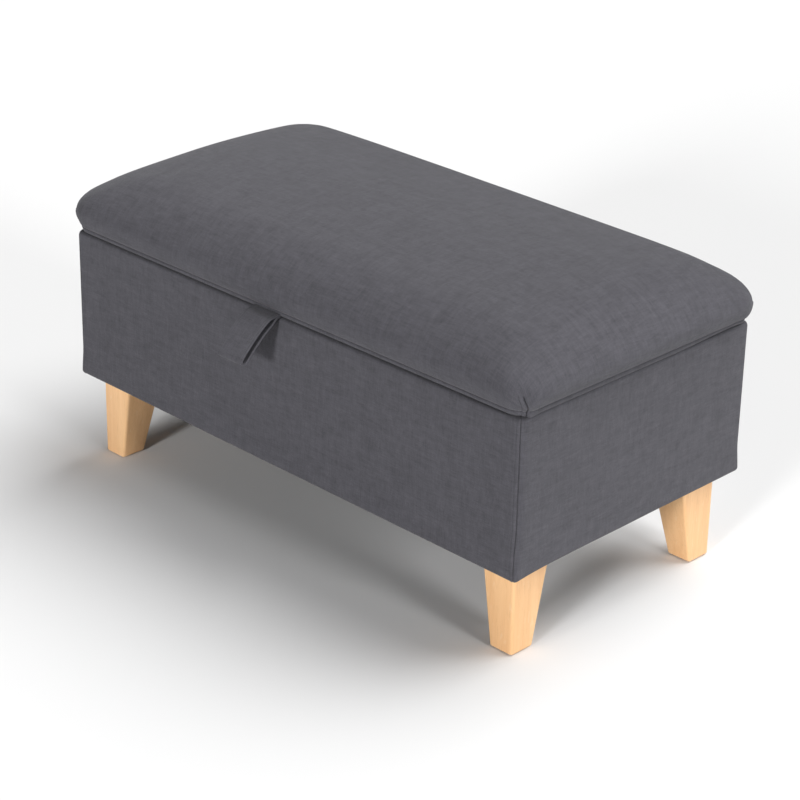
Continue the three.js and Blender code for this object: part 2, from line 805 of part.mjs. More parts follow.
function addHinges() {
  const half = hinge_length / 2;
  const middle_half = half - hinge_end_knuckle_length - hinge_knuckle_gap;
  const end_spans = [[-half, hinge_end_knuckle_length - half], [half - hinge_end_knuckle_length, half]];
  const base_leaf_low = base_top + seat_gap;
  const lid_leaf_low = lid_bottom - seat_gap - hinge_leaf_thickness;
  const pin_half = half + seat_gap;
  for (const [name, side] of [['left', -1], ['right', 1]]) {
    const place = point(side * hinge_from_middle, 0, 0);
    const base_leaf = hingeLeaf(base_leaf_low, end_spans, 1);
    const lid_leaf = hingeLeaf(lid_leaf_low, [[-middle_half, middle_half]], -1);
    const pin = alongX(turned([
      [0, -pin_half - hinge_pin_head_thickness],
      [hinge_pin_head_radius, -pin_half - hinge_pin_head_thickness],
      [hinge_pin_head_radius, -pin_half],
      [hinge_pin_radius, -pin_half],
      [hinge_pin_radius, pin_half],
      [hinge_pin_head_radius, pin_half],
      [hinge_pin_head_radius, pin_half + hinge_pin_head_thickness],
      [0, pin_half + hinge_pin_head_thickness],
    ]));
    pin.translate(0, hinge_axis_y, hinge_axis_z);
    addPiece(`hinge_base_leaf_${name}`, base_leaf, 'steel').position.copy(place);
    addPiece(`hinge_lid_leaf_${name}`, lid_leaf, 'steel').position.copy(place);
    addPiece(`hinge_pin_${name}`, pin, 'steel').position.copy(place);
  }
  for (const { side, end, x } of hingeScrewPlaces()) {
    const label = `${side < 0 ? 'left' : 'right'}_${end < 0 ? 1 : 2}`;
    const base_screw = addPiece(`hinge_base_screw_${label}`, countersunkScrew(), 'steel');
    base_screw.position.set(x, hinge_screw_y, base_leaf_low + hinge_leaf_thickness);
    const lid_screw = addPiece(`hinge_lid_screw_${label}`, countersunkScrew(), 'steel');
    lid_screw.rotation.x = Math.PI;
    lid_screw.position.set(x, hinge_screw_y, lid_leaf_low);
  }
}

// Planes of the right-hand stay, counted inward from the lining. Its places in the plane hold Y and then Z
const stay_plate_outer = lining_half_length - lining_thickness - seat_gap;
const stay_plate_inner = stay_plate_outer - stay_plate_thickness;
const stay_arm_outer = stay_plate_inner - stay_plane_gap;
const stay_arm_inner = stay_arm_outer - stay_bar_thickness;
const stay_link_outer = stay_arm_inner - stay_plane_gap;
const stay_link_inner = stay_link_outer - stay_bar_thickness;
const stay_ear_outer = stay_link_inner - stay_plane_gap;
const stay_ear_inner = stay_ear_outer - stay_plate_thickness;
const stay_base_pivot = new THREE.Vector2(hinge_axis_y - stay_pivot_forward, hinge_axis_z - stay_pivot_below);
const stay_lid_pivot = new THREE.Vector2(
  hinge_axis_y - stay_lid_pivot_forward,
  hinge_axis_z - stay_lid_pivot_below,
);
const stay_elbow = new THREE.Vector2(
  stay_base_pivot.x - stay_lid_pivot_forward,
  stay_base_pivot.y - stay_lid_pivot_below,
);

// A flat shape drawn in Y and Z, with a thickness along X
function sidePlate(outline, low_x, high_x) {
  const geometry = plate(outline, low_x, high_x);
  geometry.applyMatrix4(new THREE.Matrix4().makeBasis(point(0, 1, 0), point(0, 0, 1), point(1, 0, 0)));
  return geometry;
}

function studAt(place, radius, low_x, high_x) {
  const stud = alongX(rod(radius, low_x, high_x));
  stud.translate(0, place.x, place.y);
  return stud;
}

// A flat bar with round ends and a hole at each end
function stayBar(from, to, low_x, high_x) {
  const direction = new THREE.Vector2().subVectors(to, from).angle();
  const outline = new THREE.Shape();
  const quarter = Math.PI / 2;
  outline.absarc(from.x, from.y, stay_bar_half_width, direction + quarter, direction + 3 * quarter);
  outline.absarc(to.x, to.y, stay_bar_half_width, direction - quarter, direction + quarter);
  const bar = sidePlate(outline, low_x, high_x);
  const holes = [from, to].map((place) => studAt(place, stay_stud_radius + stay_stud_clearance,
    low_x - cut_overrun, high_x + cut_overrun));
  return cut(bar, ...holes);
}

function stayBasePlate() {
  const outline = roundedOutline(stay_plate_length / 2, stay_plate_height / 2, stay_plate_corner_radius);
  const flat = sidePlate(outline, stay_plate_inner, stay_plate_outer);
  flat.translate(0, stay_base_pivot.x - stay_plate_offset, stay_base_pivot.y);
  const head_outer = stay_arm_inner - seat_gap;
  const stud = studAt(stay_base_pivot, stay_stud_radius, head_outer, stay_plate_outer);
  const head = studAt(stay_base_pivot, stay_head_radius, head_outer - stay_head_thickness, head_outer);
  return join(flat, stud, head);
}

function stayElbowRivet() {
  const inner = stay_link_inner - seat_gap;
  const outer = stay_arm_outer + seat_gap;
  return alongX(turned([
    [0, inner - stay_head_thickness],
    [stay_head_radius, inner - stay_head_thickness],
    [stay_head_radius, inner],
    [stay_stud_radius, inner],
    [stay_stud_radius, outer],
    [stay_head_radius, outer],
    [stay_head_radius, outer + stay_head_thickness],
    [0, outer + stay_head_thickness],
  ])).translate(0, stay_elbow.x, stay_elbow.y);
}

// An angle bracket: a flange under the liner and an ear that hangs from its outer edge
function stayLidBracket() {
  const flange_high = liner_bottom - seat_gap;
  const flange_low = flange_high - stay_plate_thickness;
  const middle = stay_lid_pivot.x;
  const flange = block(
    point(stay_ear_outer - stay_flange_width, middle - stay_flange_length / 2, flange_low),
    point(stay_ear_outer, middle + stay_flange_length / 2, flange_high),
  );
  const ear_outline = new THREE.Shape();
  ear_outline.moveTo(middle - stay_flange_length / 2, flange_high);
  ear_outline.absarc(middle, stay_lid_pivot.y, stay_bar_half_width, Math.PI, Math.PI * 2);
  ear_outline.lineTo(middle + stay_flange_length / 2, flange_high);
  const ear = sidePlate(ear_outline, stay_ear_inner, stay_ear_outer);
  const head_inner = stay_link_outer + seat_gap;
  const stud = studAt(stay_lid_pivot, stay_stud_radius, stay_ear_inner, head_inner);
  const head = studAt(stay_lid_pivot, stay_head_radius, head_inner, head_inner + stay_head_thickness);
  return join(flange, ear, stud, head);
}

// The left stay mirrors the right one
function mirroredAcross(geometry) {
  return geometryOf(solidOf(geometry).mirror([1, 0, 0]));
}

function addStays() {
  const pieces = [
    ['stay_base_plate', stayBasePlate()],
    ['stay_arm', stayBar(stay_base_pivot, stay_elbow, stay_arm_inner, stay_arm_outer)],
    ['stay_elbow_rivet', stayElbowRivet()],
    ['stay_link', stayBar(stay_elbow, stay_lid_pivot, stay_link_inner, stay_link_outer)],
    ['stay_lid_bracket', stayLidBracket()],
  ];
  for (const [name, geometry] of pieces) {
    addPiece(`${name}_right`, geometry, 'steel');
    addPiece(`${name}_left`, mirroredAcross(geometry), 'steel');
  }
}

addBaseCovers();
addPanels();
addFloorAndLining();
addDustCover();
addLegs();
addSeatCover();
addSeatFoam();
addLidBoardAndLiner();
addPullTab();
addBumpers();
addHinges();
addStays();

// The origin lies on the floor, in the middle of the bench's outline with its pull tab
const outline_box = new THREE.Box3().setFromObject(bench, true);
bench.position.y = -(outline_box.min.y + outline_box.max.y) / 2;

export default bench;
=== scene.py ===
import json
import math

import bmesh
import bpy
import numpy as np
from mathutils import Matrix, Vector, noise

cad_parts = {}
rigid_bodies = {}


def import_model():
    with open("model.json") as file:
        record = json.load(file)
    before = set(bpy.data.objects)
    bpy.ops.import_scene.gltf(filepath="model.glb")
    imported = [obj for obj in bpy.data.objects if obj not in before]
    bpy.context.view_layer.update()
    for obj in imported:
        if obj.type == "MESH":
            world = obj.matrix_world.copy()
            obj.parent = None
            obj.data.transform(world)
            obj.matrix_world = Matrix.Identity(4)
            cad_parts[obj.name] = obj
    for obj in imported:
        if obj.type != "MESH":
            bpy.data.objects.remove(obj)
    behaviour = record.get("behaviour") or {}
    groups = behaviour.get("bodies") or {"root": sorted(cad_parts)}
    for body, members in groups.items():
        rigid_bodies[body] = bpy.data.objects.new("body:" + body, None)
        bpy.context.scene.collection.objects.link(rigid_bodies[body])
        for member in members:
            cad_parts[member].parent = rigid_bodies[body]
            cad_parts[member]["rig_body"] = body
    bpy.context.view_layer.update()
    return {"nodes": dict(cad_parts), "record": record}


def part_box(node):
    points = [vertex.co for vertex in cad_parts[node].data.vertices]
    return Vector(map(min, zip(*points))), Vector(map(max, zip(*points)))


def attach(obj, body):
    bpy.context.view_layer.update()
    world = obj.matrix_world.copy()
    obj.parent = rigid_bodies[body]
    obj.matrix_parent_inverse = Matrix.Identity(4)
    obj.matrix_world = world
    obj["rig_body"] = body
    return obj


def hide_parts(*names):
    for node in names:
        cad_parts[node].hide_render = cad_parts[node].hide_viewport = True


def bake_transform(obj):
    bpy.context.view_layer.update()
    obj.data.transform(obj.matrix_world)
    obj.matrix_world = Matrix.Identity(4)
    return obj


# Looks of the storage bench: woven covers with their seams, oak legs, hinges, stays and linings.
# Lengths are in millimetres, measured from the middle of the box on the floor. +X runs along the
# bench, -Y is its front and +Z is up.

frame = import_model()

MILLIMETRE = 0.001
box_low, box_high = (
    np.array(pick([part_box(f"base_cover_{side}")[end] for side in ("front", "back", "left", "right")], axis=0))
    for end, pick in ((0, np.min), (1, np.max))
)
middle = np.array([0, (box_low[1] + box_high[1]) / 2, 0])


def placed(points):
    """Bench millimetres as metres in the frame."""
    return np.asarray(points, float) * MILLIMETRE + middle


def span(node):
    """Lowest and highest corner of a node in bench millimetres."""
    low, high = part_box(node)
    return (np.array(low) - middle) / MILLIMETRE, (np.array(high) - middle) / MILLIMETRE


# Box
base_half_length, base_half_depth, base_top = (box_high - middle) / MILLIMETRE
base_bottom = box_low[2] / MILLIMETRE
base_corner_radius = 13
rim_edge_radius = 5
rim_rise = {"front": 0, "right": 1.9, "back": 0, "left": 1.9}
edge_drop = {"front": (1.2, 4.4), "right": (4.4, -0.6), "back": (-0.6, 0.6), "left": (0.6, 1.2)}
bottom_edge_radius = 6
padding = 4
seat_gap = 0.3
carcass_bottom = span("front_panel")[0][2]
carcass_top = span("front_panel")[1][2]
mouth_half_length = -span("left_end_panel")[1][0]
rim_inset = base_half_length - mouth_half_length - seat_gap
rim_fold_radius = 2.6
corner_seam_turn = math.radians(50)
corner_seam_depth = 1.4
seam_groove_width = 1.5
topstitch_distance = 4.8
topstitch_sink = 0.45
topstitch_width = 0.42
lap_height = 0.45
cover_wave = 0.4
cover_wave_length = 95
pucker_height = 0.16
pucker_length = 16
seam_reach = 40
corner_tightening_share = 0.5
corner_tightening_height = 45
smallest_corner_radius = 0.8
edge_drop_power = 12
edge_drop_height = 40
seam_wander = {("front", -1): 1.1, ("front", 1): 2.7, ("right", -1): 2.7, ("right", 1): 1.9,
               ("back", -1): 1.9, ("back", 1): 0.7, ("left", -1): 0.7, ("left", 1): 1.1}
wander_top = 200
wander_fade = 70

# Lid
cover_low, cover_high = span("seat_cover")
bulge_half_length = cover_high[0]
bulge_half_depth = cover_high[1]
lid_bottom = cover_low[2]
lip_height = 5.3
lip_radius = 26
lip_top = lid_bottom + lip_height
bulge_rise = 22.6
bulge_level = lip_top + bulge_rise
bulge_radius = 44
bulge_end = bulge_half_length - base_half_length
bulge_side = bulge_half_depth - base_half_depth
roll_height = 46
roll_reach_end = 103
roll_reach_side = 76.5
roll_power = 1.8
crown_height = 24.6
crown_power_end = 6.4
crown_power_side = 2
cover_thickness = 1.6
dart_turn_top = math.radians(50)
dart_turn_low = math.radians(32)
dart_power = 1.4
dart_sink_long = 2.4
dart_groove_long = 1.6
dart_sink_end = 2.2
dart_groove_end = 1.5
narrow_pleat = 1.3
pleat_crease = 0.8
full_pleat = 1.5
lid_wave = 0.5
lid_wave_length = 120
padding_reach = 150
rim_blend = (6, 52)
tab_bulge_reach = 0.62
tab_bulge_side = 0.5
tab_bulge_lip = 0.7
beside_dart_end = 1.2
beside_dart_long = 0.5
droop_fade = (60, 190)
foam_inset = 5
foam_draw = 3
lip_droop = {"front": 1.3, "right": 3.0, "back": 0.2, "left": 3.0}
side_roundness = 0.93

# Pull tab
tab_middle = (span("pull_tab")[0][0] + span("pull_tab")[1][0]) / 2
tab_width = span("pull_tab")[1][0] - span("pull_tab")[0][0]
tab_length = 80
tab_slopes = [(0, 5), (7, 23), (16, 31), (40, 41), (80, 48)]
tab_ply = 2.5
tab_belly = 5.8
tab_belly_share = 0.2
tab_stitched = 1.5
tab_tip = 7
tab_lead = 23
tab_root_share = 0.55
tab_bow = 0.35
tab_hem_rise = 0.12
tab_stitch_place = 19.7
tab_stitch_sink = 0.3
tab_root_y = span("pull_tab_sewn_end")[0][1] - 1.1
tab_root_z = (span("pull_tab_sewn_end")[0][2] + span("pull_tab_sewn_end")[1][2]) / 2


class Shape:
    """Points, faces and cloth coordinates of one form."""

    def __init__(self, points, faces, weave=None):
        self.points = np.asarray(points, float).reshape(-1, 3)
        self.faces = faces
        self.weave = np.zeros((len(self.points), 2)) if weave is None else np.asarray(weave).reshape(-1, 2)

    def __add__(self, other):
        shift = len(self.points)
        return Shape(
            np.vstack([self.points, other.points]),
            self.faces + [tuple(corner + shift for corner in face) for face in other.faces],
            np.vstack([self.weave, other.weave]),
        )

    def moved(self, x=0, y=0, z=0):
        return Shape(self.points + (x, y, z), self.faces, self.weave)

    def turned(self, right, forward, up):
        """The form with its own axes laid along these three directions."""
        return Shape(self.points @ np.array([right, forward, up], float), self.faces, self.weave)


def joined(shapes):
    whole = shapes[0]
    for shape in shapes[1:]:
        whole = whole + shape
    return whole


def grid(points, weave=None, closed=False):
    """A sheet of four-sided faces over rows of points, closed round on itself where asked."""
    rows, columns = points.shape[:2]
    last = columns if closed else columns - 1
    faces = []
    for row in range(rows - 1):
        for column in range(last):
            beside = (column + 1) % columns
            here, above = row * columns, (row + 1) * columns
            faces.append((here + column, here + beside, above + beside, above + column))
    return Shape(points, faces, weave)


def tube(points, weave=None):
    """A closed form through rings of points, with a flat face at each end."""
    shape = grid(points, weave, closed=True)
    rows, columns = points.shape[:2]
    first = tuple(range(columns))
    last = tuple((rows - 1) * columns + column for column in range(columns))
    return Shape(shape.points, shape.faces + [first[::-1], last], shape.weave)


def lathe(profile, steps=40):
    """A form turned about +Z from pairs of radius and height."""
    angles = np.arange(steps) * 2 * math.pi / steps
    rings = [
        np.stack([radius * np.cos(angles), radius * np.sin(angles), np.full(steps, height)], axis=-1)
        for radius, height in profile
    ]
    return tube(np.array(rings))


def rounded(corners, radius, steps=4):
    """A profile of radius and height pairs whose outer corners are rounded by the given radius."""
    path = [np.array(corners[0], float)]
    for before, corner, after in zip(corners, corners[1:], corners[2:]):
        before, corner, after = (np.array(place, float) for place in (before, corner, after))
        back, ahead = before - corner, after - corner
        reach = min(radius, np.linalg.norm(back) * 0.45, np.linalg.norm(ahead) * 0.45)
        start = corner + back / np.linalg.norm(back) * reach
        end = corner + ahead / np.linalg.norm(ahead) * reach
        for share in np.linspace(0, 1, steps):
            path.append((1 - share) ** 2 * start + 2 * share * (1 - share) * corner + share ** 2 * end)
    path.append(np.array(corners[-1], float))
    return [tuple(place) for place in path]


def smooth_step(value, low=0.0, high=1.0):
    share = np.clip((value - low) / (high - low), 0, 1)
    return share * share * (3 - 2 * share)


def hump(value, centre, width):
    return np.exp(-(((value - centre) / width) ** 2))


def groove(from_seam, width):
    """1 in a seam, and 0 from a small distance on."""
    return np.clip(1 - from_seam / width, 0, 1) ** 2


def ripple(x, y, size, seed):
    """Smooth unevenness from -1 to 1 over a surface."""
    x, y = np.broadcast_arrays(np.asarray(x, float), np.asarray(y, float))
    flat = [noise.noise(Vector((a / size, b / size, seed))) for a, b in zip(x.ravel(), y.ravel())]
    return np.array(flat).reshape(x.shape)


def slack(amount, x, y, size, seed):
    """How far loose cloth stands off its board, from nothing to twice the amount."""
    return amount * (1 + ripple(x, y, size, seed))


# Forms made of a middle sheet and four sides round it
SIDES = {
    "front": (np.array([1, 0]), np.array([0, -1])),
    "right": (np.array([0, 1]), np.array([1, 0])),
    "back": (np.array([-1, 0]), np.array([0, 1])),
    "left": (np.array([0, -1]), np.array([-1, 0])),
}


def is_long(side):
    return side in ("front", "back")


def side_reach(side, half_length, half_depth, radius, turn):
    """Straight half length of a side, and how far its cloth goes from the middle to the corner seam."""
    half_along = half_length if is_long(side) else half_depth
    wrap = math.pi / 2 - turn if is_long(side) else turn
    straight = half_along - radius
    return straight, straight + radius * wrap


def side_points(side, shares, half_length, half_depth, radius, turn):
    """Places and outward directions at shares, from -1 to 1, of a side of a rounded rectangle."""
    along_axis, out_axis = SIDES[side]
    straight, reach = side_reach(side, half_length, half_depth, radius, turn)
    half_out = half_depth if is_long(side) else half_length
    distance = np.abs(shares) * reach
    angle = np.clip(distance - straight, 0, None) / radius
    along = np.sign(shares) * (np.minimum(distance, straight) + radius * np.sin(angle))
    out = half_out - radius + radius * np.cos(angle)
    places = along[:, None] * along_axis + out[:, None] * out_axis
    normals = (np.sign(shares) * np.sin(angle))[:, None] * along_axis + np.cos(angle)[:, None] * out_axis
    return places, normals


def spaced(reach, near, step):
    """Shares from -1 to 1 along a side: close together near the seams, then evenly spaced."""
    far = reach - near[-1]
    count = max(2, round(far / step))
    half = np.concatenate([np.linspace(0, far, count + 1)[:-1], reach - np.array(near[::-1])]) / reach
    return np.concatenate([-half[:0:-1], half])


def sheet_between(outlines):
    """A sheet of places that fills four side outlines which meet at the corners."""
    front, right = outlines["front"], outlines["right"]
    back, left = outlines["back"][::-1], outlines["left"][::-1]
    across = share_along(front)
    upward = share_along(right)
    u, v = across[None, :, None], upward[:, None, None]
    ruled_long = (1 - v) * front[None] + v * back[None]
    ruled_side = (1 - u) * left[:, None] + u * right[:, None]
    corners = (
        (1 - u) * (1 - v) * front[0] + u * (1 - v) * front[-1]
        + (1 - u) * v * back[0] + u * v * back[-1]
    )
    return ruled_long + ruled_side - corners


def share_along(places):
    steps = np.linalg.norm(np.diff(places, axis=0), axis=1)
    run = np.concatenate([[0], np.cumsum(steps)])
    return run / run[-1]


def run_from_middle(points, axis):
    """Distance along rows or columns of points, counted from the middle one."""
    steps = np.linalg.norm(np.diff(points, axis=axis), axis=2)
    start = np.zeros_like(np.take(steps, [0], axis=axis))
    run = np.concatenate([start, np.cumsum(steps, axis=axis)], axis=axis)
    centre = np.take(run, [run.shape[axis] // 2], axis=axis)
    return run - centre


def run_down(points):
    steps = np.linalg.norm(np.diff(points, axis=0), axis=2)
    return np.concatenate([np.zeros((1, points.shape[1])), np.cumsum(steps, axis=0)])


def covered(top, sides):
    """The top sheet and the four sides as one form, with cloth coordinates that run on over the edges."""
    u = run_from_middle(top, 1)
    v = run_from_middle(top, 0)
    shapes = [grid(top, np.stack([u, v], axis=-1))]
    edges = {
        "front": (u[0], v[0], 0, -1),
        "right": (u[:, -1], v[:, -1], 1, 0),
        "back": (u[-1, ::-1], v[-1, ::-1], 0, 1),
        "left": (u[::-1, 0], v[::-1, 0], -1, 0),
    }
    for side, points in sides.items():
        edge_u, edge_v, step_u, step_v = edges[side]
        down = run_down(points)
        weave = np.stack([edge_u + step_u * down, edge_v + step_v * down], axis=-1)
        shapes.append(grid(points, weave))
    return joined(shapes)


# Finishes
class Value:
    """A shader value that Python's operators work on."""

    def __init__(self, finish, socket):
        self.finish = finish
        self.socket = socket

    def calculate(self, operation, *values):
        return self.finish.node("ShaderNodeMath", {"operation": operation}, dict(enumerate(values)))

    def __add__(self, other):
        return self.calculate("ADD", self, other)

    def __radd__(self, other):
        return self.calculate("ADD", other, self)

    def __sub__(self, other):
        return self.calculate("SUBTRACT", self, other)

    def __rsub__(self, other):
        return self.calculate("SUBTRACT", other, self)

    def __mul__(self, other):
        return self.calculate("MULTIPLY", self, other)

    def __rmul__(self, other):
        return self.calculate("MULTIPLY", other, self)

    def __truediv__(self, other):
        return self.calculate("DIVIDE", self, other)

    def __pow__(self, other):
        return self.calculate("POWER", self, other)

    def __abs__(self):
        return self.calculate("ABSOLUTE", self)

    def sine(self):
        return self.calculate("SINE", self)

    def between(self, low, high):
        """0 below the low value, 1 above the high one, and smooth in between."""
        settings = {"interpolation_type": "SMOOTHSTEP"}
        inputs = {"Value": self, "From Min": low, "From Max": high}
        return self.finish.node("ShaderNodeMapRange", settings, inputs)


class Finish:
    """A procedural material and the nodes that it is made of."""

    def __init__(self, name, roughness, **fixed):
        self.material = bpy.data.materials.new(name)
        self.material.use_nodes = True
        self.nodes = self.material.node_tree.nodes
        self.links = self.material.node_tree.links
        self.surface = self.nodes["Principled BSDF"]
        self.feed(self.surface.inputs["Roughness"], roughness)
        for socket, value in fixed.items():
            self.feed(self.surface.inputs[socket.replace("_", " ")], value)

    def feed(self, socket, value):
        if isinstance(value, Value):
            self.links.new(value.socket, socket)
        elif hasattr(socket.default_value, "__len__") and len(value) < len(socket.default_value):
            socket.default_value = (*value, 1)
        else:
            socket.default_value = value

    def node(self, kind, settings=None, inputs=None, output=0):
        made = self.nodes.new(kind)
        for name, value in (settings or {}).items():
            setattr(made, name, value)
        for name, value in (inputs or {}).items():
            self.feed(made.inputs[name], value)
        return Value(self, made.outputs[output])

    def position(self):
        """Place on the piece itself, in metres, which moves with the piece."""
        return self.node("ShaderNodeTexCoord", output="Object")

    def weave(self):
        """Place on the cloth, in metres along and across its threads."""
        return self.node("ShaderNodeUVMap", {"uv_map": "Weave"})

    def parts(self, vector):
        separate = self.nodes.new("ShaderNodeSeparateXYZ")
        self.links.new(vector.socket, separate.inputs[0])
        return [Value(self, output) for output in separate.outputs]

    def vector(self, x, y, z=0.0):
        return self.node("ShaderNodeCombineXYZ", inputs={0: x, 1: y, 2: z})

    def cloud(self, vector, scale, detail=2.0, roughness=0.5):
        inputs = {"Vector": vector, "Scale": scale, "Detail": detail, "Roughness": roughness}
        return self.node("ShaderNodeTexNoise", inputs=inputs)

    def mix(self, factor, first, second):
        """A colour between two others."""
        return self.node(
            "ShaderNodeMix", {"data_type": "RGBA"}, {0: factor, 6: first, 7: second}, output=2)

    def shade(self, colour, factor):
        """A colour made lighter or darker by a varying factor."""
        return self.node(
            "ShaderNodeVectorMath", {"operation": "SCALE"}, {0: colour, "Scale": factor})

    def colour(self, value):
        self.feed(self.surface.inputs["Base Color"], value)

    def bump(self, height, distance, strength=1.0):
        inputs = {"Height": height, "Distance": distance, "Strength": strength}
        self.feed(self.surface.inputs["Normal"], self.node("ShaderNodeBump", inputs=inputs))


dark_yarn, pale_yarn = (0.0345, 0.0337, 0.0389), (0.1225, 0.1195, 0.1377)
dark_thread, pale_thread = (0.035, 0.035, 0.042), (0.075, 0.075, 0.085)
dark_fibre, pale_fibre = (0.014, 0.014, 0.016), (0.050, 0.050, 0.055)
dark_oak, pale_oak = (0.745, 0.415, 0.190), (0.925, 0.590, 0.310)
oak_fleck, oak_pore = (0.88, 0.62, 0.38), (0.46, 0.25, 0.115)
dark_pine, pale_pine = (0.42, 0.27, 0.13), (0.66, 0.48, 0.27)
dark_foam, pale_foam = (0.62, 0.55, 0.38), (0.85, 0.79, 0.62)
dark_zinc, pale_zinc = (0.42, 0.43, 0.45), (0.66, 0.67, 0.69)
dark_rubber, pale_rubber = (0.012, 0.012, 0.012), (0.03, 0.03, 0.03)
dark_nylon, pale_nylon = (0.50, 0.48, 0.45), (0.70, 0.68, 0.64)
studio_white = (0.8, 0.8, 0.8)


def charcoal_weave():
    """Plain weave of mottled grey yarns, each a little lighter or darker along its length, with painted shade
    in the hollows between the yarn crossings.
    """
    cloth = Finish("charcoal_weave", 0.92, Sheen_Weight=0.12, Sheen_Roughness=0.45, Specular_IOR_Level=0.25)
    yarn_pitch = 0.0011
    yarn_contrast = 0.85
    slub_contrast = 0.2
    cloud_contrast = 0.08
    fibre_contrast = 0.08
    streak_contrast = 0.25
    crossing_softness = 0.35
    weave_depth = 0.00025
    along, across, _ = cloth.parts(cloth.weave())
    warp = along / yarn_pitch
    weft = across / yarn_pitch
    crossing = (warp * math.pi).sine() * (weft * math.pi).sine()
    warp_on_top = crossing.between(-crossing_softness, crossing_softness)
    warp_tone = cloth.cloud(cloth.vector(warp, weft * 0.12, 3.1), 0.85)
    weft_tone = cloth.cloud(cloth.vector(warp * 0.1, weft, 7.7), 0.85)
    yarn_tone = weft_tone + (warp_tone - weft_tone) * warp_on_top
    slub = cloth.cloud(cloth.vector(warp * 0.35, weft * 0.5, 1.3), 1.0, detail=1)
    cloudy = cloth.cloud(cloth.vector(along, across, 0.5), 14, detail=2)
    fibres = cloth.cloud(cloth.vector(warp * 5, weft * 5, 2.2), 1.0, detail=1)
    warp_streaks = cloth.cloud(cloth.vector(warp * 0.16, weft * 0.035, 5.6), 1.0, detail=1)
    weft_streaks = cloth.cloud(cloth.vector(warp * 0.035, weft * 0.16, 8.4), 1.0, detail=1)
    tone = (yarn_tone - 0.5) * yarn_contrast + (slub - 0.5) * slub_contrast
    tone = tone + (cloudy - 0.5) * cloud_contrast + (fibres - 0.5) * fibre_contrast
    tone = tone + (warp_streaks + weft_streaks - 1.0) * streak_contrast
    # 1 on the crowns of the yarn crossings and 0 in the hollows between them: a bump height, and the mask of
    # the painted shade.
    crown_bump_and_shade = abs(crossing).between(0.0, 0.5)
    colour = cloth.mix(tone + 0.5, dark_yarn, pale_yarn)
    # Painted shade: the colour is darkened to 0.82 in the hollows between yarns and lightened a little on their
    # crowns.
    cloth.colour(cloth.shade(colour, crown_bump_and_shade * 0.22 + 0.82))
    cloth.bump(crown_bump_and_shade * 0.7 + yarn_tone * 0.6, weave_depth, 0.5)
    return cloth.material


def stitching_thread():
    thread = Finish("stitching_thread", 0.7, Sheen_Weight=0.1)
    twist = thread.cloud(thread.position(), 2500)
    thread.colour(thread.mix(twist, dark_thread, pale_thread))
    return thread.material


def black_nonwoven():
    """Spun-bonded cloth: black fibres pressed together with rows of small dimples."""
    cloth = Finish("black_nonwoven", 0.85, Sheen_Weight=0.15, Specular_IOR_Level=0.3)
    along, across, _ = cloth.parts(cloth.weave())
    dimple_pitch = 0.0016
    rows = (along / dimple_pitch * math.pi).sine() * (across / dimple_pitch * math.pi).sine()
    dimples = rows.between(0.3, 0.9)
    fibres = cloth.cloud(cloth.vector(along, across, 4.0), 900, detail=3, roughness=0.7)
    patches = cloth.cloud(cloth.vector(along, across, 9.0), 25, detail=3)
    tone = fibres * 0.7 + patches * 0.5 - 0.1
    cloth.colour(cloth.mix(tone, dark_fibre, pale_fibre))
    cloth.bump(fibres - dimples * 0.8, 0.0003, 0.5)
    return cloth.material


def natural_oak():
    """Pale straight-grained wood under clear satin lacquer, with the grain along the leg."""
    wood = Finish("natural_oak", 0.42, Coat_Weight=0.12, Coat_Roughness=0.3, Specular_IOR_Level=0.4)
    x, y, z = wood.parts(wood.position())
    sway = wood.cloud(wood.vector(x * 9, y * 9, z * 4), 1.0) * 0.012
    ring = wood.cloud(wood.vector((x + sway) * 60, (y + sway) * 60, z * 3.5), 1.0, detail=2)
    grain = wood.cloud(wood.vector(x * 420, y * 420, z * 14), 1.0, detail=3, roughness=0.6)
    pores = wood.cloud(wood.vector(x * 1500, y * 1500, z * 60), 1.0, detail=1).between(0.6, 0.75)
    ray = wood.cloud(wood.vector(x * 200, y * 200, z * 70), 1.0, detail=1).between(0.62, 0.8)
    tone = (ring - 0.5) * 1.3 + (grain - 0.5) * 0.7 + 0.55
    colour = wood.mix(tone, dark_oak, pale_oak)
    lighter = wood.mix(ray * 0.35, colour, oak_fleck)
    wood.colour(wood.mix(pores * 0.3, lighter, oak_pore))
    wood.bump(grain * 0.5 - pores * 0.6, 0.00012, 0.4)
    return wood.material


def pine_board():
    """Raw board inside the covers."""
    board = Finish("pine_board", 0.75)
    x, y, z = board.parts(board.position())
    grain = board.cloud(board.vector(x * 6, y * 160, z * 160), 1.0, detail=3)
    rings = board.cloud(board.vector(x * 1.5, y * 22, z * 22), 1.0, detail=2)
    board.colour(board.mix(grain * 0.5 + rings * 0.6, dark_pine, pale_pine))
    board.bump(grain, 0.0004, 0.4)
    return board.material


def cream_foam():
    foam = Finish("cream_foam", 0.95)
    cells = foam.cloud(foam.position(), 900, detail=2)
    foam.colour(foam.mix(cells, dark_foam, pale_foam))
    foam.bump(cells, 0.0008, 0.6)
    return foam.material


def zinc_steel():
    """Zinc-plated pressed steel: satin, with faint cloudy patches and fine drawing marks."""
    steel = Finish("zinc_steel", 0.34, Metallic=1.0)
    position = steel.position()
    patches = steel.cloud(position, 55, detail=3)
    x, y, z = steel.parts(position)
    marks = steel.cloud(steel.vector(x * 300, y * 1400, z * 1400), 1.0, detail=2)
    steel.colour(steel.mix(patches, dark_zinc, pale_zinc))
    steel.feed(steel.surface.inputs["Roughness"], patches * 0.2 + marks * 0.12 + 0.2)
    steel.bump(marks, 0.00005, 0.4)
    return steel.material


def black_rubber():
    rubber = Finish("black_rubber", 0.7)
    grain = rubber.cloud(rubber.position(), 1800)
    rubber.colour(rubber.mix(grain, dark_rubber, pale_rubber))
    rubber.bump(grain, 0.0001, 0.4)
    return rubber.material


